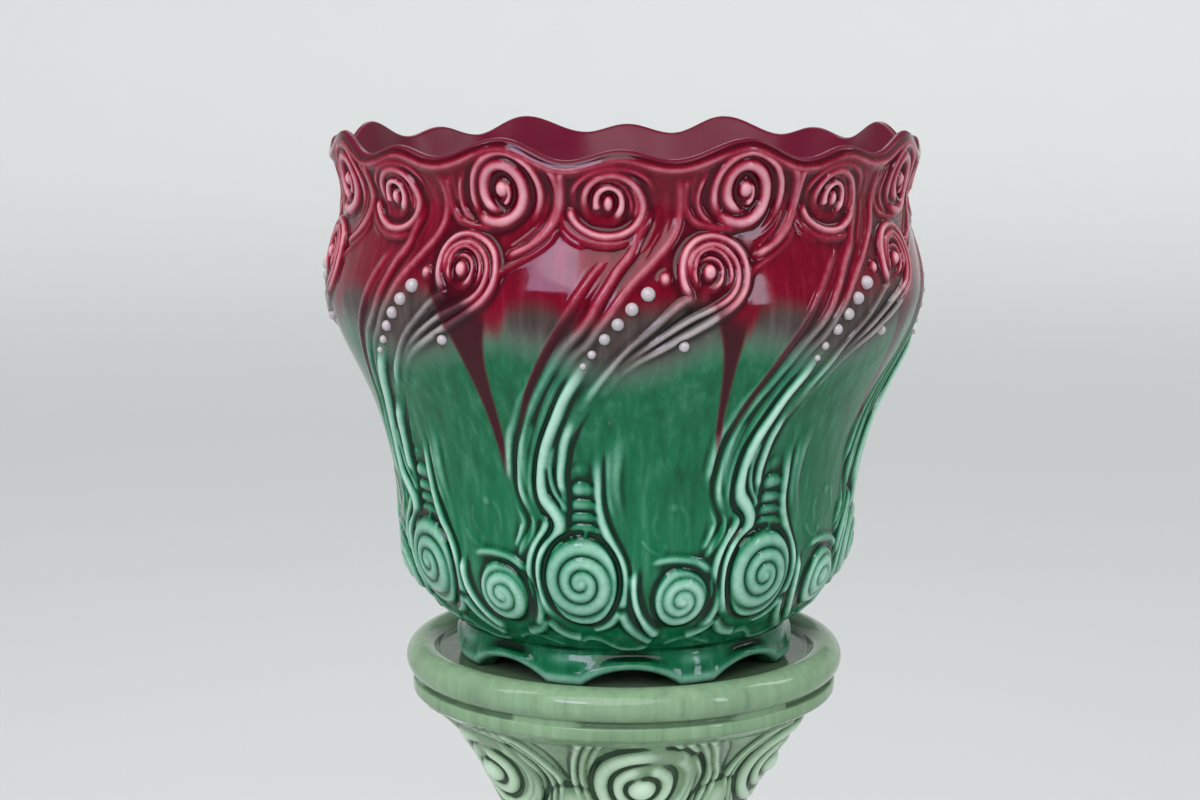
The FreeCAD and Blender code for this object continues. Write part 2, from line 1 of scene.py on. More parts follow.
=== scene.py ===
import json
import math

import bpy
import numpy as np
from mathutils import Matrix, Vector


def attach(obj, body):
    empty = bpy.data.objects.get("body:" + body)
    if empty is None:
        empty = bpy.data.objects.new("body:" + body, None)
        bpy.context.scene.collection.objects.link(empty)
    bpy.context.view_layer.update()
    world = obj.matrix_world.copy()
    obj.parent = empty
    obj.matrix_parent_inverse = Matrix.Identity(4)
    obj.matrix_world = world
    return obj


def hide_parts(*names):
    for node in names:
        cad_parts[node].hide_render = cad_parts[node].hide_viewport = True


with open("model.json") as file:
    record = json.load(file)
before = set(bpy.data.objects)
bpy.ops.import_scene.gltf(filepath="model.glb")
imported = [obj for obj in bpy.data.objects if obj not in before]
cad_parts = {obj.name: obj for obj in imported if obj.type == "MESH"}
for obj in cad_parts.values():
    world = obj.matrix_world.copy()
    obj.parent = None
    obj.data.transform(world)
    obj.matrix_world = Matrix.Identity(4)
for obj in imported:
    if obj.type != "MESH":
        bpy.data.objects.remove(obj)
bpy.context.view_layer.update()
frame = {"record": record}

# The jardiniere and its stand as two fired and glazed pieces, and the bowl's pearls as a
# mesh of their own. The relief is a height in millimetres over (angle, height): angles are
# in degrees round the axis, 0 is -Y and they grow towards +X, and heights are above the floor.

MM = 0.001
LEAVES = 8            # repeats of the bowl's ornament
LEAF = 360.0 / LEAVES
PANELS = 6            # repeats of the stand's ornament
PANEL = 360.0 / PANELS
MM_PER_DEGREE = 2.7   # on the bowl's belly, for the spacing of stations along a path
BASE_MM_PER_DEGREE = 2.1    # on the stand's spreading base
WIDEST = 174.8        # greatest radius that the bowl may reach
FINE_STEP = 0.25      # spacing of a profile's points while its corners are rounded
WHORL_STRETCH = 1.08  # a whorl is this much taller than wide
RIDGE_FULLNESS = 1.15       # the bowl's ridges are drawn this much wider and higher than listed


# ---- curves and profiles

def lengths_along(points, scale=(1.0, 1.0)):
    """How far each point lies from the first along the line."""
    legs = np.diff(points, axis=0) * scale
    return np.concatenate([[0.0], np.cumsum(np.hypot(legs[:, 0], legs[:, 1]))])


def through(points, step):
    """A smooth line through the points, as stations about this far apart."""
    points = np.array(points, float)
    knots = lengths_along(points, (MM_PER_DEGREE, 1.0))
    where = np.linspace(0.0, knots[-1], max(int(knots[-1] / step), 2) + 1)
    return cubic(knots, points, where)


def cubic(knots, values, where):
    """The natural cubic spline through (knots, values), read at the places asked for."""
    count, gaps = len(knots), np.diff(knots)
    slopes = np.diff(values, axis=0) / gaps[:, None]
    system, right = np.eye(count), np.zeros_like(values)
    for row in range(1, count - 1):
        system[row, row - 1:row + 2] = gaps[row - 1], 2.0 * (gaps[row - 1] + gaps[row]), gaps[row]
        right[row] = 6.0 * (slopes[row] - slopes[row - 1])
    bend = np.linalg.solve(system, right)
    leg = np.clip(np.searchsorted(knots, where) - 1, 0, count - 2)
    gap = gaps[leg][:, None]
    after = (where - knots[leg])[:, None] / gap
    before = 1.0 - after
    curve = before * values[leg] + after * values[leg + 1]
    bends = (before ** 3 - before) * bend[leg] + (after ** 3 - after) * bend[leg + 1]
    return curve + gap ** 2 / 6.0 * bends


def smooth_wall(points, count):
    """A wall's curve through its points, as this many stations."""
    points = np.array(points)
    knots = lengths_along(points)
    return cubic(knots, points, np.linspace(0.0, knots[-1], count))


def outward(line):
    """Unit normals of a profile that runs with the clay on its left."""
    way = np.gradient(line, axis=0)
    way /= np.hypot(way[:, 0], way[:, 1])[:, None]
    return np.stack([way[:, 1], -way[:, 0]], 1)


def ease(low, high, value):
    """0 below low, 1 above high and a smooth step between."""
    share = np.clip((value - low) / (high - low), 0.0, 1.0)
    return share * share * (3.0 - 2.0 * share)


def arc(centre, radius, start, end, step):
    """Points of a circle's arc in the profile plane, from angle to angle in degrees."""
    count = max(int(abs(math.radians(end - start)) * radius / step), 3)
    turn = np.radians(np.linspace(start, end, count + 1))
    return np.stack([centre[0] + radius * np.cos(turn), centre[1] + radius * np.sin(turn)], 1)


def softened(line, spread, step):
    """The line with its corners rounded, as evenly spaced points."""
    knots = lengths_along(line)
    fine = np.arange(0.0, knots[-1], FINE_STEP)
    dense = np.stack([np.interp(fine, knots, line[:, axis]) for axis in (0, 1)], 1)
    reach = int(3.0 * spread / FINE_STEP)
    weights = np.exp(-0.5 * (np.arange(-reach, reach + 1) * FINE_STEP / spread) ** 2)
    weights /= weights.sum()
    padded = np.pad(dense, ((reach, reach), (0, 0)), "reflect", reflect_type="odd")
    smooth = np.stack([np.convolve(padded[:, axis], weights, "valid") for axis in (0, 1)], 1)
    keep = np.unique(np.round(np.linspace(0, len(smooth) - 1, int(knots[-1] / step) + 1)).astype(int))
    return smooth[keep]


# ---- relief

class Relief:
    """Heights over one repeat of the ornament, built up from strokes."""

    def __init__(self, turn, height, radius, repeat):
        self.turn, self.height, self.repeat = turn, height, repeat
        self.scale = np.radians(1.0) * radius
        self.raised = np.zeros_like(turn)
        self.cut = np.zeros_like(turn)
        self.mound = np.zeros_like(turn)

    def nearest(self, path, reach):
        """Distance of each point from the path, and the share of it at the nearest spot."""
        best = np.full(self.turn.shape, 1e6)
        share = np.zeros_like(best)
        count = len(path) - 1
        for shift in (-2.0 * self.repeat, -self.repeat, 0.0, self.repeat, 2.0 * self.repeat):
            for number in range(count):
                (turn_a, low_a), (turn_b, low_b) = path[number], path[number + 1]
                turn_a, turn_b = turn_a + shift, turn_b + shift
                wide = reach / self.scale.min()
                near = np.nonzero(
                    (self.turn > min(turn_a, turn_b) - wide) & (self.turn < max(turn_a, turn_b) + wide)
                    & (self.height > min(low_a, low_b) - reach) & (self.height < max(low_a, low_b) + reach))
                if not len(near[0]):
                    continue
                scale = self.scale[near]
                across, up = (turn_b - turn_a) * scale, low_b - low_a
                from_a = (self.turn[near] - turn_a) * scale
                above_a = self.height[near] - low_a
                along = np.clip((from_a * across + above_a * up) / (across ** 2 + up ** 2 + 1e-9), 0.0, 1.0)
                away = np.hypot(from_a - along * across, above_a - along * up)
                closer = away < best[near]
                spots = tuple(axis[closer] for axis in near)
                best[spots] = away[closer]
                share[spots] = (number + along[closer]) / count
        return best, share

    def ridge(self, stations, width, rise, start=0.12, end=0.12):
        """A rounded ridge of this half width. It sinks over its start and end shares."""
        away, share = self.nearest(through(stations, 2.0), width)
        height = rise * tapered(share, start, end)
        bead = np.clip(1.0 - (away / width) ** 2, 0.0, 1.0) ** 0.85
        self.raised = np.maximum(self.raised, height * bead)

    def swell(self, stations, width, rise):
        """A wide low swell of the wall along a line."""
        away, share = self.nearest(through(stations, 4.0), width)
        height = rise * ease(0.0, 0.3, share) * ease(0.0, 0.3, 1.0 - share)
        self.mound = np.maximum(self.mound, height * np.clip(1.0 - (away / width) ** 2, 0.0, 1.0))

    def groove(self, stations, width, depth, start=0.15, end=0.15):
        """A soft-sided groove of this half width."""
        away, share = self.nearest(through(stations, 2.0), width)
        deep = depth * tapered(share, start, end)
        self.cut = np.maximum(self.cut, deep * np.clip(1.0 - (away / width) ** 2, 0.0, 1.0) ** 1.5)

    def rounded(self, turn, height, wide, tall, rise, power):
        """Heights of a rounded form, its half sizes in millimetres across and up."""
        heights = np.zeros_like(self.turn)
        for shift in (-self.repeat, 0.0, self.repeat):
            across = (self.turn - turn - shift) * self.scale / wide
            inside = np.clip(1.0 - across ** 2 - ((self.height - height) / tall) ** 2, 0.0, 1.0)
            heights = np.maximum(heights, rise * inside ** power)
        return heights

    def dome(self, turn, height, wide, tall, rise, power=1.0):
        """A mound that carries the strokes drawn on it."""
        self.mound = np.maximum(self.mound, self.rounded(turn, height, wide, tall, rise, power))

    def bump(self, turn, height, wide, tall, rise, power=0.6):
        """A small raised bead among the ridges."""
        self.raised = np.maximum(self.raised, self.rounded(turn, height, wide, tall, rise, power))

    def whorl(self, turn, height, reach, first, opening, rise, phase):
        """A coil of touching rolls that opens clockwise out to this reach.

        first is the rolls' spacing at the eye and opening is how fast it grows."""
        for shift in (-self.repeat, 0.0, self.repeat):
            across = (self.turn - turn - shift) * self.scale
            up = (self.height - height) / WHORL_STRETCH
            away = np.hypot(across, up)
            laps = (np.sqrt(first ** 2 + 4.0 * opening * away) - first) / (2.0 * opening)
            laps = laps + (np.arctan2(up, across) - math.radians(phase)) / (2.0 * math.pi)
            bead = np.abs(np.sin(math.pi * laps)) ** 0.6
            fall = ease(0.0, 0.14 * reach, reach - away)
            self.raised = np.maximum(self.raised, rise * bead * fall)

    def pearl_seat(self, turn, height, size):
        """The dark ring of glaze that pools round a pearl."""
        away = np.hypot((self.turn - turn) * self.scale, self.height - height)
        self.cut = np.maximum(self.cut, 1.8 * np.clip(1.0 - ((away - size - 0.2) / 1.5) ** 2, 0.0, 1.0))

    def total(self):
        """The relief's height, from the mounds, what is raised on them and what is cut."""
        return self.mound + self.raised - self.cut


def tapered(share, start, end):
    """Share of a stroke's height along its length, low over its start and end shares."""
    rise = ease(0.0, start, share) if start else 1.0
    fall = ease(0.0, end, 1.0 - share) if end else 1.0
    return (0.15 + 0.85 * rise) * (0.15 + 0.85 * fall)


def coil(turn, height, first, growth, turns, phase):
    """Stations of a coil on the stand's base, opening clockwise from its radius first."""
    stations = []
    for step in range(int(turns * 24) + 1):
        swept = 2.0 * math.pi * step / 24
        away = first + growth * step / 24
        angle = math.radians(phase) - swept
        across = away * math.cos(angle) / BASE_MM_PER_DEGREE
        stations.append((turn + across, height + away * math.sin(angle)))
    return stations


def ring(turn, left, right, top, bottom, height, start=90.0, turns=1.0):
    """Stations of an egg-shaped ring, clockwise from the start angle."""
    stations = []
    for step in range(int(turns * 28) + 1):
        angle = math.radians(start - 360.0 * step / 28)
        across = (right - turn if math.cos(angle) > 0 else turn - left) * math.cos(angle)
        up = (top - height if math.sin(angle) > 0 else height - bottom) * math.sin(angle)
        stations.append((turn + across, height + up))
    return stations


def blurred(field, across, along):
    """The field averaged over neighbours, round the ware and up it."""
    for _ in range(3):
        total = field.copy()
        for step in range(1, across + 1):
            total += np.roll(field, step, 1) + np.roll(field, -step, 1)
        field = total / (2 * across + 1)
        padded = np.pad(field, ((along, along), (0, 0)), "edge")
        total = np.zeros_like(field)
        for step in range(2 * along + 1):
            total += padded[step:step + len(field)]
        field = total / (2 * along + 1)
    return field


# ---- the bowl's shape

BOWL_TOP = 935.0
FOOT_BOTTOM = 628.0
SEAM = 650.0
RIM_KEYS = [(-22.5, 935.0), (-10.5, 924.0), (-0.6, 929.6), (8.6, 924.6), (22.5, 935.0)]
BOWL_WALL = [(96.0, 650.0), (113.5, 666.0), (126.5, 690.5), (131.5, 722.0), (149.5, 790.0),
             (170.3, 848.0), (159.8, 900.0), (168.2, 932.0)]
CLAY = 8.0
FOOT_ARCH_MIDDLE = 2.5
FOOT_ARCH_WIDE = 56.0
FOOT_ARCH_HIGH = 10.0
FOOT_SKIRT = 633.0    # height of the foot's outward roll
FOOT_HOLLOW = 643.0   # height of the hollow above it
FOOT_REACH = 97.0     # radius of the foot's outer face
COLUMNS = 152         # steps round one leaf


def rim_height(turn):
    """Height of the wavy rim's edge at these angles."""
    turn = (turn + LEAF / 2.0) % LEAF - LEAF / 2.0
    height = np.full(turn.shape, BOWL_TOP)
    for (turn_a, high_a), (turn_b, high_b) in zip(RIM_KEYS, RIM_KEYS[1:]):
        inside = (turn >= turn_a) & (turn <= turn_b)
        share = (turn[inside] - turn_a) / (turn_b - turn_a)
        height[inside] = high_a + (high_b - high_a) * (0.5 - 0.5 * np.cos(math.pi * share))
    return height


def arch_rise(turn, middle, repeat, radius, wide, high):
    """How far round-headed arches lift the edge of a foot ring at these angles."""
    off = ((turn - middle + repeat / 2.0) % repeat - repeat / 2.0) * math.radians(1.0) * radius
    bend = (wide ** 2 / 4.0 + high ** 2) / (2.0 * high)
    rise = np.sqrt(np.maximum(bend ** 2 - np.minimum(np.abs(off), wide / 2.0) ** 2, 0.0)) - bend + high
    return np.maximum(rise, 0.0)


def bowl_outline():
    """Profile from the middle of the underside round the rim to the inner floor."""
    wall = smooth_wall(BOWL_WALL, 640)
    clay = CLAY - 2.4 * ease(890.0, 930.0, wall[:, 1:])
    inner = wall - outward(wall) * clay
    inner = inner[inner[:, 1] > SEAM + 18.0]
    under = softened(np.array([(4.0, SEAM), (82.5, SEAM), (82.5, 634.0), (86.0, FOOT_BOTTOM + 0.6),
                               (90.0, FOOT_BOTTOM), (95.0, FOOT_BOTTOM + 0.6), (98.0, 632.0),
                               (98.0, 637.0), (94.6, 647.0), wall[0]]), 1.0, 1.5)
    edge_middle = (wall[-1] + inner[-1]) / 2.0
    half = np.linalg.norm(wall[-1] - inner[-1]) / 2.0
    lean = math.degrees(math.atan2(*(wall[-1] - inner[-1])[::-1]))
    roll = arc(edge_middle, half, lean, lean + 180.0, 0.6)
    roll[:, 1] += BOWL_TOP - roll[:, 1].max()
    outer = softened(np.concatenate([wall[:-8], roll[:4]]), 0.6, 0.85)
    inside = softened(np.concatenate([inner[::-1], [(70.0, SEAM + 12.0), (4.0, SEAM + 12.0)]]), 3.0, 5.0)
    return under, outer, roll, inside


# ---- the bowl's relief

# Ridges: half width, rise, shares over which the ends sink, stations from the top down.
BOWL_RIDGES = [
    # Large scroll: the coil from its eye outwards, wide and then narrow
    (3.4, 2.9, 0.1, 0.1, [(22.9, 901), (21.2, 898.6), (19.5, 901.5), (18.7, 909), (19.4, 917), (21.8, 921.8),
        (24.6, 919.5), (26.3, 912), (26.3, 902), (24.7, 894.5), (22, 891), (18.9, 892.6), (17, 898)]),
    (2.2, 2.5, 0.15, 0.25, [(18.9, 892.6), (17, 898.5), (16.4, 907.5), (17.2, 917.5), (19.4, 925),
        (22.4, 928.4), (25.8, 926), (28.4, 919), (29.7, 909), (29.3, 899), (27.7, 891), (25.6, 886)]),
    (2.3, 2, 0.1, 0.1, [(11.4, 917), (11, 906), (11.7, 896.5), (13.5, 891), (17, 888.4), (21.2, 887.4)]),
    (1.5, 1.9, 0.25, 0.2, [(14.9, 919), (13.6, 909.5), (13.5, 900.5), (14.7, 894), (17, 890.4)]),
    (1.3, 1.5, 0.25, 0.25, [(12.9, 920), (12.3, 909), (12.6, 899.5)]),
    (2.6, 2.5, 0.2, 0.15, [(27, 929.5), (30.2, 924.5), (32.2, 917), (32.9, 906), (32.1, 895.5),
        (30.2, 886.5), (27.8, 879.5), (25.4, 874)]),
    (1.4, 1.4, 0.25, 0.25, [(31.2, 912), (31.1, 902), (29.8, 892.5), (27.4, 884.5)]),
    # Small scroll: hooked eye, then the coil outwards
    (2.1, 3.3, 0.05, 0.15, [(-4.9, 898), (-5.1, 904), (-4.4, 909), (-2.8, 911.2), (-1.2, 909.2), (-0.5, 904),
        (-0.8, 898), (-1.9, 893.2)]),
    (2.3, 2.6, 0.15, 0.05, [(-5.9, 893.5), (-6.9, 899), (-7.2, 905), (-6.3, 911.5), (-4.6, 915.6),
        (-2.5, 917.2), (0.2, 915.2), (2.3, 909.5), (3.3, 902.5), (3, 895), (1.5, 888.8), (-1.2, 885),
        (-4.5, 884.8), (-7.4, 888), (-9.4, 893.5), (-10.2, 901)]),
    (1.1, 2.3, 0.2, 0.2, [(-5.7, 906), (-4.7, 911.8), (-2.8, 914), (-0.7, 912.4), (0.7, 907), (1.2, 901),
        (0.8, 894.5)]),
    (1.1, 2.2, 0.25, 0.2, [(0.7, 912.6), (1.9, 906.6), (2.2, 900), (1.7, 893.5)]),
    (1.9, 1.8, 0.15, 0.3, [(-9.2, 901), (-9.2, 908.5), (-7.5, 915), (-4.9, 919.2), (-1.6, 920.6),
        (2.1, 918.4), (4.5, 913), (5.3, 905.5), (5.2, 897.5)]),
    (1.2, 1.2, 0.3, 0.3, [(3.6, 918.5), (6.1, 913), (7.1, 906), (6.9, 898)]),
    (2.1, 1.9, 0.1, 0.2, [(-11.7, 901), (-11.3, 893), (-9.5, 886.5), (-6.6, 882), (-3, 880.4), (0.4, 881.8),
        (2.8, 886)]),
    # The swirl's lines, left to right
    (3, 1.7, 0.1, 0.08, [(-1.6, 880), (-2.4, 876), (-4.6, 869), (-6.9, 860), (-9.2, 850), (-11, 841),
        (-13.3, 830.7), (-15.1, 821), (-16.9, 813), (-18.7, 805), (-21, 797), (-22.6, 787.5), (-24.6, 778.7),
        (-25.4, 768), (-25.9, 757), (-26, 747)]),
    (2, 1.1, 0.15, 0.35, [(1, 886), (-0.4, 877), (-2.9, 868), (-5, 859.5), (-7.3, 849.5), (-9.3, 841),
        (-11.2, 832)]),
    (3.2, 2.1, 0.1, 0.1, [(4.6, 905), (4.2, 895), (2.6, 885.7), (1.3, 877), (-1, 868.6), (-2.8, 860),
        (-4.6, 851.4), (-6, 844), (-7.8, 837), (-9.9, 830.7), (-12.4, 821), (-14.6, 812), (-16.5, 804),
        (-18.7, 795), (-20, 789), (-21.6, 779), (-22.5, 771), (-23.2, 762.5), (-23.6, 753), (-23.6, 745),
        (-22.6, 737.5), (-21.4, 731)]),
    (2, 1.1, 0.2, 0.3, [(7.2, 900), (6.6, 888), (4.4, 878), (2.1, 869.5), (-0.6, 859.5), (-2.9, 850),
        (-5.2, 841), (-7.6, 833), (-10, 825)]),
    (3, 2.1, 0.06, 0.1, [(8.6, 921), (9.6, 914), (10.1, 905), (9.6, 890), (8, 881.5), (6.3, 876), (4, 869),
        (0.5, 858.6), (-2.4, 847), (-4.6, 838.6), (-6.5, 830.7), (-8.7, 824.3), (-10.9, 815.7), (-12.8, 808),
        (-14.5, 800), (-16.3, 790), (-17.9, 780), (-19.2, 770), (-20.3, 760), (-20.8, 750), (-20.5, 742),
        (-19.6, 735), (-19, 730)]),
    (1.3, 0.9, 0.3, 0.3, [(7.2, 868), (4.6, 862), (2.2, 857), (-0.2, 849), (-2.6, 841), (-4.6, 833)]),
    (1.3, 1.3, 0.15, 0.3, [(2.4, 884), (0.6, 876), (-1.4, 868), (-3.6, 860), (-5.7, 851), (-7.7, 843)]),
    (1.4, 1.4, 0.15, 0.3, [(5.9, 884), (4.4, 877), (2.6, 869.5), (0.6, 861.5), (-1.4, 853), (-3.4, 845),
        (-5.4, 837)]),
    (1.3, 1.2, 0.25, 0.3, [(8.6, 902), (8.2, 892), (6.8, 883), (5.2, 876.5), (3, 868)]),
    (1.5, 1.2, 0.2, 0.3, [(-3.4, 872), (-5.6, 863), (-8, 852.5), (-10.2, 843), (-12.6, 833)]),
    (1.7, 1.4, 0.25, 0.25, [(6.4, 906), (6.2, 896), (5.2, 887), (3.7, 879.5), (2, 872)]),
    # The ridge that carries the last pearls and bends round the heel scroll
    (4.3, 3.4, 0.12, 0.12, [(-5.4, 829), (-8.5, 816), (-10.5, 808), (-12.3, 800), (-14, 790), (-15.6, 781),
        (-17, 772), (-17.9, 763), (-18.4, 755), (-18.6, 748), (-18, 743), (-16.5, 738), (-15.3, 733),
        (-14.7, 728), (-15.5, 722.5), (-17.3, 717.5), (-19.9, 710), (-20.9, 700), (-20.6, 688), (-18.9, 678),
        (-15, 670)]),
    (1.5, 1.1, 0.3, 0.1, [(-12.6, 786), (-14.1, 777), (-15.3, 766), (-16.1, 755), (-16.1, 749), (-15.2, 744),
        (-13.7, 739), (-12.9, 734)]),
    (1.5, 1.3, 0.3, 0.1, [(-11.6, 780), (-13, 769), (-13.9, 758), (-14.2, 750), (-13.7, 745), (-12.9, 740)]),
    (1.7, 1.5, 0.2, 0.2, [(-19.9, 735), (-18.6, 731.5), (-18, 727), (-18.6, 722), (-20.6, 716),
        (-22.6, 710)]),
    (1.5, 1.2, 0.2, 0.2, [(-22.6, 735), (-21.2, 729), (-21.6, 722), (-23.6, 715), (-25.2, 708)]),
    # Fillets that fall from the rim's valleys
    (2.4, 2.6, 0.03, 0.15, [(-11.2, 921), (-11.4, 912), (-11.6, 904), (-12.2, 895), (-13.6, 888),
        (-16, 881.5), (-19.5, 876), (-22.6, 872)]),
    (1.6, 1.4, 0.15, 0.15, [(-14, 906), (-14.5, 897), (-16, 889), (-18.5, 882.5), (-21.8, 876.5)]),
    (1.7, 1.7, 0.08, 0.2, [(-12, 890), (-13.2, 883), (-15.6, 877), (-18.9, 871.5), (-22, 866), (-24, 858)]),
    (1.6, 1.5, 0.08, 0.3, [(-11.9, 892), (-11.2, 887), (-9.8, 883), (-7.9, 880.2), (-6, 878.8)]),
    # The crest scroll's coils, which run on as the tails of the crest
    (2.2, 3.2, 0.04, 0.25, [(12, 853.5), (10.6, 859), (10.1, 867), (10.9, 876.5), (13, 882.6), (15.6, 884.6),
        (18.6, 882.4), (21, 876.5), (21.9, 868), (21.5, 859), (19.8, 851.5), (17, 845.5), (13.5, 839.5),
        (10, 834), (7, 829), (4, 824), (1, 818), (-1.5, 811), (-3.5, 804)]),
    (1.8, 3, 0.1, 0.25, [(12.2, 859), (11.4, 867), (12.2, 875.4), (14, 879.2), (16, 880.4), (18.4, 877.4),
        (20, 871), (20.2, 863), (18.9, 855), (15.9, 849), (11.8, 843.6), (8.5, 838), (5.4, 832), (2.5, 826),
        (-0.3, 818.5), (-2.6, 811)]),
    (1.1, 2.9, 0.15, 0.2, [(12.5, 864), (12.4, 870), (13.4, 875.4), (15.2, 877.8), (17.2, 876), (18.7, 870),
        (18.8, 862.5), (17.6, 856.5)]),
    (1.3, 2.6, 0.1, 0.2, [(12.9, 859.5), (12.4, 864.5), (12.8, 870), (14.8, 873.6), (16.8, 871.5),
        (17.4, 866), (16.6, 860.5), (14.6, 857.5)]),
    (2.2, 2.2, 0.05, 0.3, [(12.6, 853.8), (11.5, 853.5), (9, 849.5), (6.5, 843), (4, 836.5), (1.5, 830.5),
        (-0.5, 825), (-2.5, 818), (-4.5, 811), (-6.5, 803), (-8.5, 795)]),
    (1.4, 1.1, 0.2, 0.3, [(12.5, 850.5), (9.6, 846), (7.2, 839.8), (4.8, 833.6), (2.4, 827.5), (0.2, 821)]),
    (1.5, 1.2, 0.2, 0.3, [(17.5, 851.5), (13.4, 846.2), (10, 840.5), (7, 834.5), (4.2, 829), (1.4, 822.5),
        (-1, 816), (-3.4, 808)]),
    # Green lines between the swirl's lower ridges
    (1.6, 1.5, 0.3, 0.2, [(-17.4, 793), (-19.2, 783), (-20.9, 772), (-21.9, 762), (-22.2, 752),
        (-21.9, 743)]),
    (1.5, 1.5, 0.3, 0.2, [(-20.6, 803), (-22.6, 792), (-24.4, 780), (-25.8, 768), (-26.6, 757)]),
    # Lines that bend with the swirl to the ladder
    (1.9, 2, 0.2, 0.1, [(-14.4, 778), (-15.5, 769), (-16.2, 760), (-16, 751), (-15.1, 744.5), (-13.9, 739.5),
        (-12.9, 734)]),
    (2.6, 2.3, 0.25, 0.15, [(-9.9, 791), (-11.4, 783), (-12.6, 775), (-13.3, 766), (-13.9, 757),
        (-13.8, 750), (-13.2, 744)]),
    (2.9, 2.3, 0.25, 0.05, [(-6.2, 772), (-5.9, 762), (-5.7, 752), (-5.6, 742), (-5.3, 733), (-4.2, 725),
        (-2.6, 717), (-0.9, 709.5), (0.3, 701), (0.4, 692), (-0.2, 685), (-1, 680)]),
    (3.4, 1, 0.45, 0.4, [(0.4, 786), (-0.5, 778), (-1.2, 769), (-1.7, 759), (-1.8, 750), (-1.3, 742.5),
        (-0.4, 735), (0.7, 728)]),
    (2, 1, 0.35, 0.3, [(-3, 776), (-3.3, 765), (-3.5, 754), (-3.3, 744), (-2.6, 736), (-1.4, 729)]),
    # Ridges round the heel scroll and the bud
    (2.9, 2.9, 0.1, 0.15, [(-17.2, 735), (-17.6, 730), (-18.6, 724), (-20.6, 716), (-22.2, 708),
        (-22.8, 699), (-22.4, 690), (-21.4, 681), (-22.4, 672), (-25.4, 664.5)]),
    (1.6, 1.9, 0.2, 0.2, [(-21.6, 731), (-22.4, 724), (-24.2, 716), (-25.4, 708)]),
    (1.4, 1.7, 0.2, 0.2, [(-23.8, 729), (-24.8, 721), (-26.6, 713)]),
    (3.3, 3, 0.15, 0.15, [(1.6, 705), (2, 697), (2.4, 689), (3.4, 681), (5, 673.5), (7.6, 666.5),
        (10.6, 661.5)]),
    (2.6, 2.2, 0.2, 0.25, [(5, 704), (7.6, 707.5), (10.4, 708.8), (14, 708.5), (17.6, 706.5), (20.4, 702),
        (22.6, 695)]),
    (3.2, 1.1, 0.45, 0.15, [(20.6, 784), (20.1, 774), (19.9, 762), (20.1, 750), (20.8, 739), (22, 729),
        (22, 719), (20.9, 710)]),
    (2.9, 2.6, 0.1, 0.1, [(-8.5, 668.4), (-5.2, 670.2), (-2.6, 674), (-1, 680.5)]),
    (3, 2.6, 0.1, 0.15, [(-1, 680.5), (0.6, 672), (2.7, 666.4), (5.4, 662), (9, 658)]),
    (2.8, 2.4, 0.1, 0.1, [(17, 662), (20.6, 664.6), (23, 668), (24.6, 673)]),
    (2.8, 2.4, 0.1, 0.1, [(24.6, 673), (26.4, 667), (29.6, 662.5), (33.6, 661)]),
    # Leaf buds low on the panel
    (2.6, 1.1, 0.3, 0.3, [(10.4, 742), (13.4, 738), (14.9, 730), (14.6, 721), (13, 714)]),
    (2.2, 1.3, 0.2, 0.2, [(3.6, 723), (5.2, 716.5), (7.8, 712.4), (10.6, 711.6)]),
    (2.1, 1.1, 0.2, 0.2, [(8, 737), (6.9, 730), (7.4, 723), (9.2, 719)]),
]

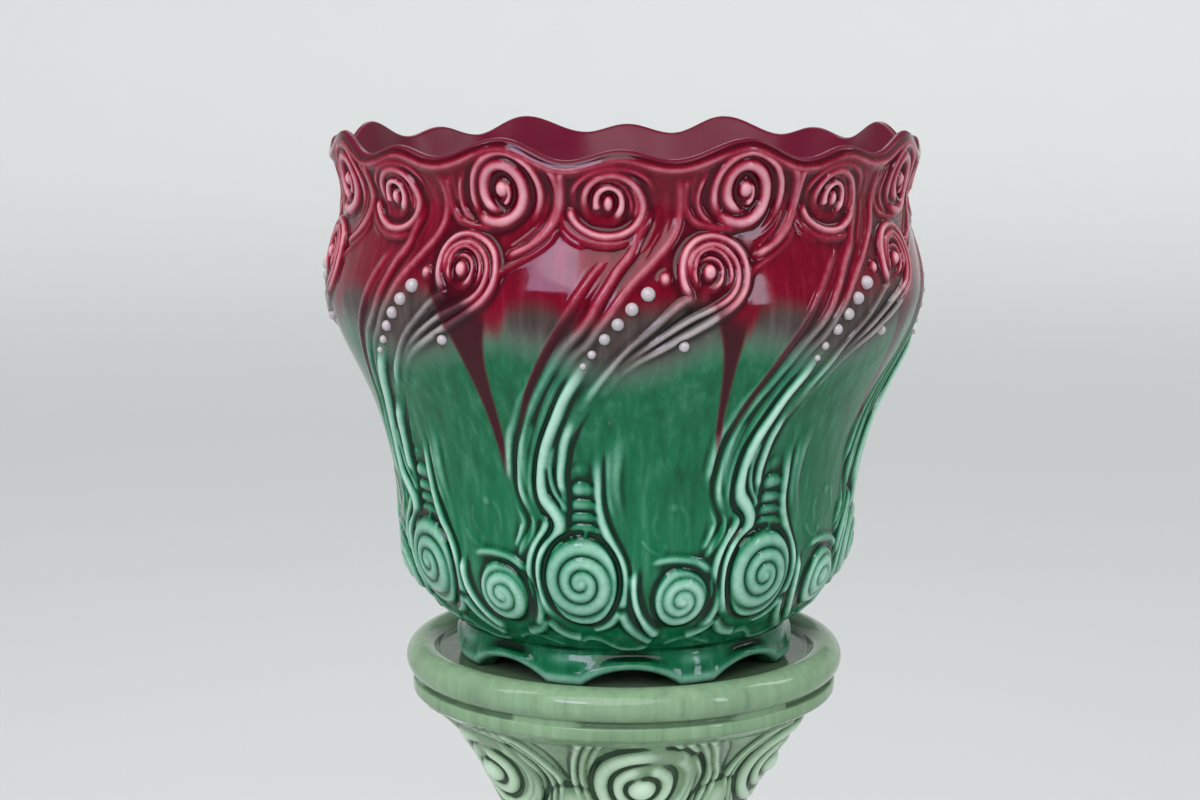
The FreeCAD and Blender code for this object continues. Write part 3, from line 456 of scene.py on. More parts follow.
# Grooves: half width, depth, shares over which the ends fade, stations.
BOWL_GROOVES = [
    (2.6, 2.8, 0.35, 0.15, [(-13, 828), (-16, 813), (-19, 800), (-20.7, 790), (-22.4, 780), (-23.8, 770),
        (-24.5, 760), (-24.9, 750), (-24.5, 741), (-23.5, 735), (-22.4, 729), (-23.2, 721), (-25, 713)]),
    (1.7, 2.9, 0.2, 0.1, [(-7.2, 826), (-9.4, 816), (-11.7, 807), (-13.4, 799), (-15.1, 790), (-17, 780),
        (-18.6, 770), (-19.6, 760), (-20.1, 750), (-19.8, 741), (-18.8, 735.5), (-16.9, 730.5), (-17, 726),
        (-18.8, 720), (-20.9, 711), (-21.7, 700), (-21.2, 689), (-20.2, 680)]),
    (1.3, 0.7, 0.3, 0.2, [(-20.7, 790), (-22.2, 779), (-22.9, 769), (-23, 757), (-22.6, 746), (-21.6, 739)]),
    (1.8, 2, 0.3, 0.12, [(-5.6, 797), (-7.4, 790), (-9.4, 781), (-11, 772), (-12, 762), (-12.5, 752),
        (-12.2, 744), (-12.4, 735), (-12.9, 728), (-13.8, 722.5)]),
    (1.8, 1.9, 0.4, 0.06, [(-3.9, 781), (-4.1, 770), (-4.4, 760), (-4.6, 750), (-4.3, 739), (-3.3, 730.5),
        (-1.7, 721.5), (0.2, 712.5), (1.3, 704.5), (1.4, 694), (1.7, 684), (3, 675.5), (5, 668)]),
    (1.9, 1.6, 0.5, 0.1, [(5.6, 800), (3.6, 789), (1.9, 780), (0.7, 771), (0, 760), (-0.2, 750), (0.3, 740),
        (1.5, 730.5), (3, 721), (4.6, 713.5), (6, 709)]),
    (1.4, 1.5, 0.2, 0.2, [(-16.9, 764), (-17, 754), (-16.4, 747), (-14.9, 741), (-13.9, 735.5)]),
    (1.2, 1.3, 0.2, 0.2, [(-14.9, 765), (-15.1, 755), (-14.6, 747.5), (-13.4, 741.5)]),
    (1.9, 2.6, 0.15, 0.1, [(4.2, 705), (3.6, 697), (3.8, 689), (4.7, 681), (6.8, 673.5), (10, 668),
        (14.2, 665.8), (18.4, 668.4), (21.4, 675), (22.6, 685), (22, 695), (20.4, 701)]),
    (2, 2.2, 0.2, 0.2, [(12.3, 733), (9.9, 729), (10.2, 722.5), (12, 720)]),
    (1.4, 1.4, 0.2, 0.2, [(12.2, 855.8), (13.7, 853.4), (15.6, 854.6)]),
    (1.6, 1.9, 0.15, 0.3, [(6.6, 851.5), (3.7, 842), (0.7, 832), (-1.8, 824), (-4.3, 815.5), (-6.4, 808)]),
    # Dark lines beside the eyes and under the coils of the scrolls
    (1.7, 2.6, 0.1, 0.1, [(21, 917), (22.9, 917.4), (24.4, 912.5), (24.5, 904.5), (23.6, 899.6),
        (21.6, 899.8), (20.5, 905), (20.4, 911)]),
    (1.4, 1.7, 0.15, 0.15, [(27.2, 921), (28.1, 911.5), (28, 902), (26.6, 893.5), (24.2, 889.2)]),
    (1.1, 1.9, 0.1, 0.2, [(-4, 906.4), (-2.9, 908.7), (-1.7, 907.2), (-1.3, 902), (-1.9, 897.4)]),
    (1.1, 1.6, 0.15, 0.2, [(-5.9, 897.5), (-6.1, 904), (-5.3, 910.2), (-3.4, 913.2), (-1.4, 911.8),
        (0.1, 907), (0.4, 900.5), (-0.1, 893.5)]),
    (1.3, 1.8, 0.1, 0.15, [(13.2, 860.6), (13, 866), (13.4, 871.6), (15.2, 875.4), (17.2, 872.6),
        (17.9, 866.5), (17, 860)]),
]

# Swells: half width, rise, stations.
SWELLS = [
    (15, 2, [(2, 832), (-3.5, 816), (-8, 802), (-11, 788), (-13.5, 772), (-15, 756), (-15, 742), (-12, 730),
        (-10, 716)]),
    (11, 1.5, [(-20, 790), (-22.5, 772), (-23.5, 752), (-22.5, 736), (-22.5, 716), (-23.5, 690)]),
    (12, 1.5, [(1, 800), (-2, 780), (-3.5, 758), (-3, 738), (-0.5, 718), (1.5, 698), (3, 682), (8, 664)]),
]

# Pearls: angle, height, radius
PEARLS = [(4.1, 856.2, 3.8), (1.3, 848.5, 3.5), (-1.1, 840.7, 3.3), (-3.4, 833.0, 3.0),
          (-5.7, 824.8, 2.3), (-7.3, 818.8, 1.7), (10.5, 829.0, 2.9)]
PEARL_PROUD = 0.05    # share of its radius by which a pearl's middle stands out of the relief
ROSETTE = (7.1, 863.7)
LADDER = -9.2         # angle of the ladder of beads above the heel scroll


def bowl_relief(turn, height, radius):
    """The bowl's relief in millimetres over one leaf."""
    work = Relief(turn, height, radius, LEAF)
    for width, rise, start, end, stations in BOWL_RIDGES:
        work.ridge(stations, RIDGE_FULLNESS * width, RIDGE_FULLNESS * rise, start, end)
    for width, depth, start, end, stations in BOWL_GROOVES:
        work.groove(stations, width, depth, start, end)
    # Eyes and grounds of the large, the small and the crest scroll
    work.dome(22.2, 907, 30, 28, 1.6)
    work.bump(22.3, 909.0, 3.9, 5.0, 4.0, 0.7)
    work.ridge([(23.2, 913), (23.9, 908), (23.4, 902.5), (22.4, 899.5)], 1.5, 3.4, 0.2, 0.2)
    work.dome(-2.8, 903, 26, 25, 1.5)
    work.bump(-2.9, 902.4, 3.0, 5.4, 3.9, 0.7)
    work.dome(15.6, 868, 21, 21, 1.4)
    work.bump(15.0, 866.6, 3.7, 4.4, 4.0, 0.7)
    middle, level = ROSETTE
    work.groove(ring(middle, middle - 1.6, middle + 1.6, 868.9, 858.5, level), 1.5, 1.7, 0.0, 0.0)
    work.bump(*ROSETTE, 3.3, 3.9, 3.2, 0.6)
    work.bump(*ROSETTE, 1.5, 1.8, 3.9, 0.8)
    for place, level, size in PEARLS:
        work.pearl_seat(place, level, size)
    # Heel scroll and the bud beside it: domes wound with fine rolls
    work.dome(-10.0, 697, 25, 28, 4.8, 0.8)
    work.whorl(-10.0, 697, 25.0, 4.2, 0.80, 2.0, 200)
    work.bump(-9.8, 697, 3.6, 4.0, 2.4, 0.8)
    work.groove(ring(-10.2, -19.6, -0.9, 724.2, 669.4, 697, 75, 0.99), 2.2, 4.2, 0.0, 0.0)
    work.dome(14.0, 686.5, 19, 19, 4.2, 0.8)
    work.whorl(14.0, 686.5, 18.5, 4.4, 0.50, 1.8, 150)
    work.bump(14.2, 686.5, 3.4, 3.8, 2.2, 0.8)
    work.groove(ring(14.0, 7.0, 21.3, 704.0, 668.4, 686.5, 100, 0.97), 2.0, 3.4, 0.1, 0.15)
    # Rungs of the ladder
    for level, wide, tall, rise in ((759.8, 4.4, 4.0, 1.1), (748.6, 6.0, 5.2, 2.6), (740.2, 7.8, 4.6, 2.2),
                                    (733.2, 9.0, 4.2, 2.0), (726.2, 10.8, 5.0, 2.2)):
        work.bump(LADDER, level, wide, tall, rise)
    for level, wide in ((764.5, 1.9), (754.3, 2.6), (744.4, 3.2), (736.8, 3.5), (730.0, 3.9)):
        work.groove([(LADDER - wide, level - 4.0), (LADDER - 0.6 * wide, level - 0.7), (LADDER, level),
                     (LADDER + 0.6 * wide, level - 0.7), (LADDER + wide, level - 4.0)], 1.3, 1.4)
    # Leaf buds low on the panel
    work.bump(11.4, 738, 4.2, 5.0, 1.5, 0.9)
    work.bump(9.6, 716, 3.8, 4.4, 1.4, 0.9)
    # Swells of the wall under the ridges
    for reach, rise, stations in SWELLS:
        work.swell(stations, reach, rise)
    # Scalloped edge above the foot
    work.ridge([(-13.5, 656), (-10.5, 660.5), (-6.5, 660), (-3.0, 655.5), (1.0, 652.6), (5.0, 653.4),
                (8.6, 657)], 2.2, 2.0, 0.1, 0.1)
    work.ridge([(11.0, 655), (15.0, 659.5), (19.5, 660.5), (24.0, 657), (28.0, 654.6)], 2.2, 1.8, 0.1, 0.1)
    return work.total()


def rim_band(turn, height):
    """The plain band along the rim and the crisp step that follows it."""
    below = rim_height(turn) - height
    step = 0.25
    slope = (rim_height(turn + step) - rim_height(turn - step)) / (2.0 * step * MM_PER_DEGREE)
    below = below / np.hypot(1.0, slope)
    step_up = 2.1 * ease(3.2, 4.6, below) * (1.0 - 0.6 * ease(4.8, 10.0, below))
    dip = -0.45 * np.clip(1.0 - ((below - 2.5) / 1.6) ** 2, 0.0, 1.0)
    return step_up + dip, ease(4.6, 7.4, below)


# ---- meshes

def placed(name, data):
    """An object of this data, in the scene."""
    item = bpy.data.objects.new(name, data)
    bpy.context.scene.collection.objects.link(item)
    return item


def smooth_piece(name, spots, faces):
    """An object from corners and faces, shaded smooth."""
    mesh = bpy.data.meshes.new(name)
    mesh.from_pydata(spots, [], faces)
    mesh.validate()
    for face in mesh.polygons:
        face.use_smooth = True
    return placed(name, mesh)


def shell(name, reach, level, attributes):
    """A closed shell from rows of radii and heights in millimetres, one value a column."""
    rows, columns = reach.shape
    turn = np.radians(np.arange(columns) * 360.0 / columns)
    spots = np.stack([reach * np.sin(turn), -reach * np.cos(turn), level], 2).reshape(-1, 3)
    poles = np.array([(0.0, 0.0, level[0].mean()), (0.0, 0.0, level[-1].mean())])
    spots = np.concatenate([spots, poles]) * MM
    here = np.arange(rows * columns).reshape(rows, columns)
    right = np.roll(here, -1, 1)
    quads = np.stack([here[:-1], right[:-1], right[1:], here[1:]], 2).reshape(-1, 4)
    low_fan = np.stack([np.full(columns, rows * columns), right[0], here[0]], 1)
    high_fan = np.stack([np.full(columns, rows * columns + 1), here[-1], right[-1]], 1)
    corners = np.concatenate([quads.ravel(), low_fan.ravel(), high_fan.ravel()])
    sizes = np.concatenate([np.full(len(quads), 4), np.full(2 * columns, 3)])
    mesh = bpy.data.meshes.new(name)
    mesh.vertices.add(len(spots))
    mesh.vertices.foreach_set("co", spots.ravel())
    mesh.loops.add(len(corners))
    mesh.loops.foreach_set("vertex_index", corners)
    mesh.polygons.add(len(sizes))
    mesh.polygons.foreach_set("loop_start", np.concatenate([[0], np.cumsum(sizes)[:-1]]))
    mesh.polygons.foreach_set("use_smooth", np.ones(len(sizes), bool))
    for label, values in attributes.items():
        layer = mesh.attributes.new(label, "FLOAT", "POINT")
        ends = [values[0].mean(), values[-1].mean()]
        layer.data.foreach_set("value", np.concatenate([values.ravel(), ends]).astype(np.float32))
    mesh.update(calc_edges=True)
    mesh.validate()
    return placed(name, mesh)


# Lower edge of the crimson glaze over one leaf, and the way it runs down the swirl.
CRIMSON_EDGE = [(-22.5, 836), (-20.5, 848), (-17, 851), (-12, 850), (-8, 843), (-4, 845), (0, 850), (5, 853),
                (11, 856), (15, 852), (18, 842), (20.5, 836), (22.5, 836)]
SMOKE_EDGE = [(-22.5, 832), (-16, 828), (-10, 824), (-5, 817), (0, 815), (5, 818), (10, 823), (16, 830),
              (22.5, 832)]
# Drips of the crimson glaze, one on each leaf: angle above and below, lowest height, width.
DRIPS = [(19.4, 20.1, 762.0, 0.85), (20.6, 19.2, 771.0, 1.2), (18.2, 19.6, 756.0, 0.8),
         (20.2, 18.6, 766.0, 1.3), (18.8, 20.4, 774.0, 0.9), (20.4, 19.8, 758.0, 1.1),
         (18.6, 18.0, 768.0, 0.75), (15.4, 18.4, 750.0, 1.35)]
SWIRL_RUN = [(-4.6, 861), (-8.4, 848), (-11.2, 837), (-14.0, 825), (-16.5, 813.5), (-18.6, 803), (-20.3, 793),
             (-21.9, 783), (-23.2, 774)]


def glaze_runs(turn, height):
    """Shares of crimson and of smoke-brown in the glaze, and where crimson runs down."""
    draw = np.random.default_rng(7)
    wander = np.zeros_like(turn)
    for waves in (3, 5, 11, 17, 26, 41):
        wander += np.sin(np.radians(turn) * waves + draw.uniform(0.0, 6.28)) * 3.0 / math.sqrt(waves)
    phase = (turn + LEAF / 2.0) % LEAF - LEAF / 2.0
    keys = np.array(CRIMSON_EDGE, float)
    edge = np.interp(phase, keys[:, 0], keys[:, 1]) + wander
    crimson = ease(-9.0, 6.0, height - edge)
    below_edge = 1.0 - ease(-4.0, 12.0, height - edge)
    keys = np.array(SMOKE_EDGE, float)
    smoke = ease(-15.0, 13.0, height - np.interp(phase, keys[:, 0], keys[:, 1]) - 0.7 * wander)
    runs = np.zeros_like(turn)
    for leaf, (high, low, bottom, wide) in enumerate(DRIPS):
        share = np.clip((height - bottom) / (846.0 - bottom), 0.0, 1.4)
        middle = LEAF * leaf + low + (high - low) * share
        half = (0.25 + 0.85 * np.sqrt(share) + 2.8 * share ** 4) * wide
        off = np.abs((turn - middle + 180.0) % 360.0 - 180.0)
        drip = ease(-1.0, 1.0, (half - off) / (0.20 + 0.35 * share)) * ease(0.0, 0.25, share)
        runs = np.maximum(runs, drip)
    return np.maximum(crimson, runs), smoke, runs * below_edge


def swirl_run(turn, height, radius):
    """Where crimson fills the swirl's widest groove, over one leaf."""
    away, share = Relief(turn, height, radius, LEAF).nearest(through(SWIRL_RUN, 2.0), 8.0)
    return ease(-1.0, 1.0, (3.3 - 2.3 * share - away) / 0.8) * ease(0.0, 0.3, 1.0 - share)


def make_bowl():
    """The bowl's glazed shell, and the pearls that sit on it."""
    under, outer, roll, inside = bowl_outline()
    line = np.concatenate([under, outer[1:], roll[4:], inside[1:]])
    side = outward(line)
    first, last = len(under), len(under) + len(outer) - 1
    leaf_turn = np.arange(COLUMNS) * LEAF / COLUMNS
    turn = np.tile(leaf_turn, (len(line), 1))
    level = np.tile(line[:, 1:], (1, COLUMNS))
    reach = np.tile(line[:, :1], (1, COLUMNS))
    lowered = ease(884.0, BOWL_TOP, level) * (rim_height(turn) - BOWL_TOP)
    raised = np.clip((SEAM - level) / (SEAM - FOOT_BOTTOM), 0.0, 1.0)
    arch = arch_rise(turn, FOOT_ARCH_MIDDLE, LEAF, FOOT_REACH, FOOT_ARCH_WIDE, FOOT_ARCH_HIGH)
    level = level + lowered + np.where(np.arange(len(line))[:, None] < first, raised * arch, 0.0)
    relief = np.zeros_like(level)
    wall = slice(first - 6, last + 1)
    band, below_band = rim_band(turn[wall], level[wall])
    shaped = bowl_relief(turn[wall], level[wall], reach[wall])
    relief[wall] = np.maximum(shaped * below_band, band)
    lobe = 0.5 + 0.5 * np.cos(np.radians(LEAVES * (turn - FOOT_ARCH_MIDDLE - LEAF / 2.0)))
    foot = np.tile(line[:, 1:], (1, COLUMNS))
    skirt = np.clip(1.0 - ((foot - FOOT_SKIRT) / 4.6) ** 2, 0.0, 1.0) * (0.9 + 1.2 * lobe)
    hollow = np.clip(1.0 - ((foot - FOOT_HOLLOW) / 6.5) ** 2, 0.0, 1.0) * (1.6 * lobe - 1.5 * (1.0 - lobe))
    standing = (reach > FOOT_REACH) | ((foot > FOOT_BOTTOM + 2.0) & (reach > 90.0))
    groove_run = np.tile(swirl_run(turn[wall], level[wall], reach[wall]), (1, LEAVES))
    relief = relief * ease(SEAM, SEAM + 3.0, foot)
    relief = relief + np.where(standing & (foot < SEAM + 2.0), skirt + hollow, 0.0)
    relief = np.tile(relief, (1, LEAVES))
    level, reach = np.tile(level, (1, LEAVES)), np.tile(reach, (1, LEAVES))
    around = LEAVES * COLUMNS
    turn = np.tile(np.arange(around) * 360.0 / around, (len(line), 1))
    soft = blurred(relief, 1, 1) * 0.5 + relief * 0.5
    fine = soft - blurred(soft, 3, 3)
    broad = soft - blurred(soft, 11, 10)
    crimson, smoke, runs_and_shade = glaze_runs(turn, level)
    crimson[wall] = np.maximum(crimson[wall], groove_run)
    runs_and_shade[wall] = np.maximum(runs_and_shade[wall], groove_run * (1.0 - ease(838.0, 858.0, level[wall])))
    crimson[last:] = 1.0
    reach = reach + soft * side[:, :1]
    level = level + soft * side[:, 1:]
    reach = np.minimum(reach, WIDEST)
    level = np.minimum(level, BOWL_TOP)
    ends = np.zeros_like(level)
    ends[last:] = 1.0
    tall = np.clip(soft / 5.0, 0.0, 1.0)
    seats = []
    for place, top, size in PEARLS:
        column = int(round((place % LEAF) / LEAF * COLUMNS)) % COLUMNS
        row = first + np.abs(level[first:last, column] - top).argmin()
        seats.append((place, size, reach[row, column] + PEARL_PROUD * size * side[row, 0],
                      level[row, column] + PEARL_PROUD * size * side[row, 1]))
    return shell("glazed_bowl", reach, level, {
        "fine": fine, "broad": broad, "tall": tall, "crimson": crimson, "smoke": smoke, "inside": ends,
        "runs_and_shade": runs_and_shade}), make_pearls(seats)


def make_pearls(seats):
    """All the leaves' pearls as one mesh of round beads."""
    rows, columns = 12, 20
    tilt = np.linspace(0.0, math.pi, rows + 1)[:, None]
    spin = np.arange(columns)[None, :] * 2.0 * math.pi / columns
    unit = np.stack([np.sin(tilt) * np.cos(spin), np.sin(tilt) * np.sin(spin),
                     np.cos(tilt) * np.ones_like(spin)], 2).reshape(-1, 3)
    here = np.arange((rows + 1) * columns).reshape(rows + 1, columns)
    right = np.roll(here, -1, 1)
    quads = np.stack([here[:-1], here[1:], right[1:], right[:-1]], 2).reshape(-1, 4)
    spots, faces = [], []
    for leaf in range(LEAVES):
        for place, size, away, top in seats:
            turn = math.radians(place + LEAF * leaf)
            faces.append(quads + len(spots) * len(unit))
            spots.append(unit * size + (away * math.sin(turn), -away * math.cos(turn), top))
    spots = np.concatenate(spots) * MM
    return smooth_piece("glazed_pearls", spots.tolist(), np.concatenate(faces).tolist())


# ---- the stand

SHAFT_TOP = 598.0
SHAFT_BOTTOM = 104.0
SHAFT_WALL = [(112.0, SHAFT_TOP), (93.0, 578.0), (72.0, 530.0), (60.0, 400.4), (74.0, 212.7),
              (98.0, SHAFT_BOTTOM)]
BASE_RADIUS = 142.0
BASE_EDGE = 20.0      # height of the edge where the base stops spreading
BASE_BEND = 110.0     # radius of the base's hollow curve
DISH_FLOOR = 628.0
STAND_COLUMNS = 96    # steps round one panel
PANEL_MIDDLE = 6.0
V_MIDDLE = -21.0


def stand_outline():
    """Profile from the middle of the dish over the lip, down the shaft and back inside."""
    lip = arc((118.7, 625.0), 10.0, 162.5, -55.0, 0.8)
    dish = np.concatenate([[(4.0, DISH_FLOOR), (109.2, DISH_FLOOR)], lip])
    under_lip = np.array([(119.4, 616.8), (119.4, 613.3), (125.0, 613.3), (125.0, 606.4)])
    shaft = smooth_wall(SHAFT_WALL, 500)
    low, high = np.array((BASE_RADIUS, BASE_EDGE)), np.array(SHAFT_WALL[-1])
    half = np.linalg.norm(low - high) / 2.0
    across = np.array((high[1] - low[1], low[0] - high[0])) / (2.0 * half)
    middle = (low + high) / 2.0 + across * math.sqrt(BASE_BEND ** 2 - half ** 2)
    start = math.degrees(math.atan2(*(high - middle)[::-1])) % 360.0
    end = math.degrees(math.atan2(*(low - middle)[::-1])) % 360.0
    base = arc(middle, BASE_BEND, start, end, 1.0)
    top = softened(np.concatenate([dish, under_lip, [(119.0, 602.4), SHAFT_WALL[0]]]), 0.55, 0.9)
    foot = [(BASE_RADIUS, 6.0), (139.0, 0.6), (136.5, 0.0), (133.0, 0.6), (131.0, 6.0)]
    body = softened(np.concatenate([shaft, base[1:], foot]), 1.2, 1.5)
    hollow = softened(np.array([(131.0, 20.0), (103.0, 66.0), (87.0, 104.0), (66.0, 200.0),
                                (49.0, 400.0), (61.0, 530.0), (84.0, 582.0), (90.0, 604.0),
                                (84.0, 616.0), (4.0, 616.0)]), 4.0, 8.0)
    return top, body, hollow


def stand_relief(turn, height, radius):
    """The stand's relief in millimetres over one panel."""
    work = Relief(turn, height, radius, PANEL)
    middle = PANEL_MIDDLE
    # Cartouche under the lip
    work.dome(middle, 569, 31, 33, 4.4)
    work.dome(middle, 571, 13, 16, 6.6, 0.8)
    work.bump(6.5, 571, 8.2, 7.6, 2.8, 0.7)
    work.ridge(ring(6.8, -1.9, 15.6, 584.4, 557.8, 571, 80, 0.97), 3.8, 2.3, 0.05, 0.1)
    work.ridge(ring(7.6, -8.4, 24.6, 593.6, 547.6, 570, 60, 0.97), 4.2, 2.2, 0.05, 0.1)
    work.groove(ring(6.5, 0.6, 12.4, 579.4, 563.0, 571, 100, 0.95), 1.5, 1.9, 0.05, 0.1)
    work.groove(ring(7.0, -4.6, 18.9, 589.0, 552.6, 571, 60, 0.95), 1.8, 2.4, 0.05, 0.1)
    work.groove(ring(8.5, -1.6, 24.5, 592.0, 548.0, 570, 30, 0.55), 1.1, 1.2, 0.2, 0.2)
    work.groove(ring(8.0, -12.0, 30.0, 598.6, 542.4, 570, 80, 0.98), 2.1, 3.6, 0.02, 0.05)
    # Lines that run down each side of the valley between two cartouches
    right = [(7.4, 607), (2.8, 591), (0.8, 581), (0.0, 573), (1.2, 560), (4.5, 546), (10.0, 532)]
    left = [(-13.6, 607), (-6.4, 591), (-2.6, 580), (0.0, 572), (-0.6, 560), (-4.0, 546), (-9.0, 532)]
    for bends, off, width, rise in ((right, 3.0, 2.1, 2.9), (right, 6.1, 1.8, 2.2), (right, 8.9, 1.6, 1.8),
                                    (left, -3.0, 2.0, 2.8), (left, -6.3, 1.9, 2.3),
                                    (left, -9.7, 2.0, 2.5), (left, -13.2, 1.8, 2.0)):
        work.ridge([(V_MIDDLE + off + bend, level) for bend, level in bends], width, rise, 0.05, 0.3)
    work.groove([(V_MIDDLE - 7.5, 599), (V_MIDDLE - 2.2, 585), (V_MIDDLE + 1.0, 573), (V_MIDDLE + 3.0, 583),
                 (V_MIDDLE + 7.0, 598)], 1.5, 1.2, 0.1, 0.1)
    work.bump(V_MIDDLE + 1.0, 556, 11, 11, 3.4, 0.8)
    work.groove(ring(V_MIDDLE + 1.0, V_MIDDLE - 9.5, V_MIDDLE + 11.5, 568.5, 540, 556, 190, 0.55), 1.6, 1.8)
    # Ribs that sweep round the waist
    sweep = [(15.0, 0.90), (12.0, 0.82), (3.0, 0.69), (-8.0, 0.58), (-17.0, 0.47), (-22.0, 0.36),
             (-21.0, 0.25), (-14.0, 0.14), (-4.0, 0.03)]
    for across, width, rise in ((-10, 3.0, 2.6), (-5, 1.5, 1.1), (0, 3.0, 2.8), (5, 1.5, 1.1), (10, 3.0, 2.6),
                                (17, 1.6, 1.2), (-17, 1.6, 1.2)):
        work.ridge([(middle + across + off, SHAFT_BOTTOM + (SHAFT_TOP - SHAFT_BOTTOM) * share)
                    for off, share in sweep], width, rise, 0.1, 0.1)
    # Scroll and bud on the spreading base
    work.dome(middle, 62, 26, 27, 3.4)
    work.bump(middle, 62, 6.0, 6.6, 5.0)
    work.ridge(coil(middle, 62, 7.0, 7.2, 2.2, 250), 3.2, 3.0, 0.1, 0.12)
    work.dome(middle + PANEL / 2.0, 54, 17, 18, 2.8)
    work.bump(middle + PANEL / 2.0, 54, 4.6, 5.0, 4.2)
    work.ridge(coil(middle + PANEL / 2.0, 54, 5.4, 5.6, 1.8, 250), 2.5, 2.4, 0.1, 0.15)
    work.ridge([(middle - 26, 30), (middle - 14, 25), (middle, 23.5), (middle + 14, 25),
                (middle + 26, 30)], 2.2, 1.6)
    return work.total()


def make_stand():
    """The stand's glazed shell."""
    top, body, hollow = stand_outline()
    line = np.concatenate([top, body[1:], hollow[1:]])
    side = outward(line[::-1])[::-1]
    first, last = len(top), len(top) + len(body) - 1
    panel_turn = np.arange(STAND_COLUMNS) * PANEL / STAND_COLUMNS
    turn = np.tile(panel_turn, (len(line), 1))
    level = np.tile(line[:, 1:], (1, STAND_COLUMNS))
    reach = np.tile(line[:, :1], (1, STAND_COLUMNS))
    under_lip = (level < 617.6) & (level > 612.4) & (np.arange(len(line))[:, None] < first)
    off = np.abs((turn - V_MIDDLE + PANEL / 2.0) % PANEL - PANEL / 2.0)
    filled = 0.85 * (1.0 - ease(8.0, 11.0, off)) * np.maximum(124.2 - reach, 0.0)
    reach = reach + np.where(under_lip, filled, 0.0)
    arch = arch_rise(turn, PANEL_MIDDLE, PANEL, BASE_RADIUS, 52.0, 9.0)
    low = np.arange(len(line))[:, None] >= first
    level = level + np.where(low, np.clip((BASE_EDGE - level) / BASE_EDGE, 0.0, 1.0) * arch, 0.0)
    relief = np.zeros_like(level)
    wall = slice(first - 9, last - 6)
    relief[wall] = stand_relief(turn[wall], level[wall], reach[wall])
    relief = relief * ease(6.0, BASE_EDGE, level) * (1.0 - ease(601.0, 606.5, level))
    relief = np.tile(relief, (1, PANELS))
    level, reach = np.tile(level, (1, PANELS)), np.tile(reach, (1, PANELS))
    soft = blurred(relief, 1, 1) * 0.4 + relief * 0.6
    fine = soft - blurred(soft, 2, 2)
    broad = soft - blurred(soft, 7, 6)
    hidden = np.zeros_like(level)
    hidden[last:] = 1.0
    # Painted shade, with some pooled glaze: the dish floor round the bowl's foot is darkened where the bowl
    # shades it.
    runs_and_shade = 0.75 * (1.0 - ease(628.3, 630.5, level)) * (1.0 - ease(107.0, 110.0, reach)) * (level > 627.0)
    reach = reach + soft * side[:, :1]
    level = np.maximum(level + soft * side[:, 1:], 0.0)
    # Painted light: besides the relief's height, the lip and dish at the top of the stand are lightened as if
    # lit from above.
    tall = np.maximum(np.clip(soft / 6.0, 0.0, 1.0), 0.5 * ease(606.0, 612.0, level))
    fields = {"fine": fine, "broad": broad, "tall": tall, "inside": hidden, "runs_and_shade": runs_and_shade}
    return shell("glazed_stand", reach[::-1], level[::-1],
                 {name: field[::-1] for name, field in fields.items()})


# ---- materials

class Nodes:
    """Short ways to add and join shader nodes."""

    def __init__(self, material):
        material.use_nodes = True
        self.tree = material.node_tree
        self.tree.nodes.clear()

    def add(self, kind, inputs=None, **settings):
        node = self.tree.nodes.new(kind)
        for name, value in settings.items():
            setattr(node, name, value)
        for name, value in (inputs or {}).items():
            if isinstance(value, bpy.types.NodeSocket):
                self.tree.links.new(value, node.inputs[name])
            else:
                node.inputs[name].default_value = value
        return node

    def attribute(self, name):
        return self.add("ShaderNodeAttribute", attribute_name=name).outputs["Fac"]

    def math(self, operation, first, second):
        return self.add("ShaderNodeMath", {0: first, 1: second}, operation=operation).outputs[0]

    def times(self, first, second):
        return self.math("MULTIPLY", first, second)

    def plus(self, first, second):
        return self.math("ADD", first, second)

    def minus(self, first, second):
        return self.math("SUBTRACT", first, second)

    def sway(self, value, reach):
        """A noise shifted to lie about zero, this wide."""
        return self.times(self.minus(value, 0.5), reach)

    def span(self, value, low, high, to_low=0.0, to_high=1.0):
        node = self.add("ShaderNodeMapRange", {"Value": value, "From Min": low, "From Max": high,
                                               "To Min": to_low, "To Max": to_high},
                        interpolation_type="SMOOTHSTEP")
        return node.outputs[0]

    def mix(self, share, first, second):
        node = self.add("ShaderNodeMix", data_type="RGBA")
        for name, value in ((0, share), (6, first), (7, second)):
            if isinstance(value, bpy.types.NodeSocket):
                self.tree.links.new(value, node.inputs[name])
            else:
                node.inputs[name].default_value = value if name == 0 else (*value, 1.0)
        return node.outputs[2]

    def noise(self, where, scale, detail=3.0, rough=0.55):
        node = self.add("ShaderNodeTexNoise", {"Vector": where, "Scale": scale, "Detail": detail,
                                               "Roughness": rough})
        return node.outputs["Fac"]


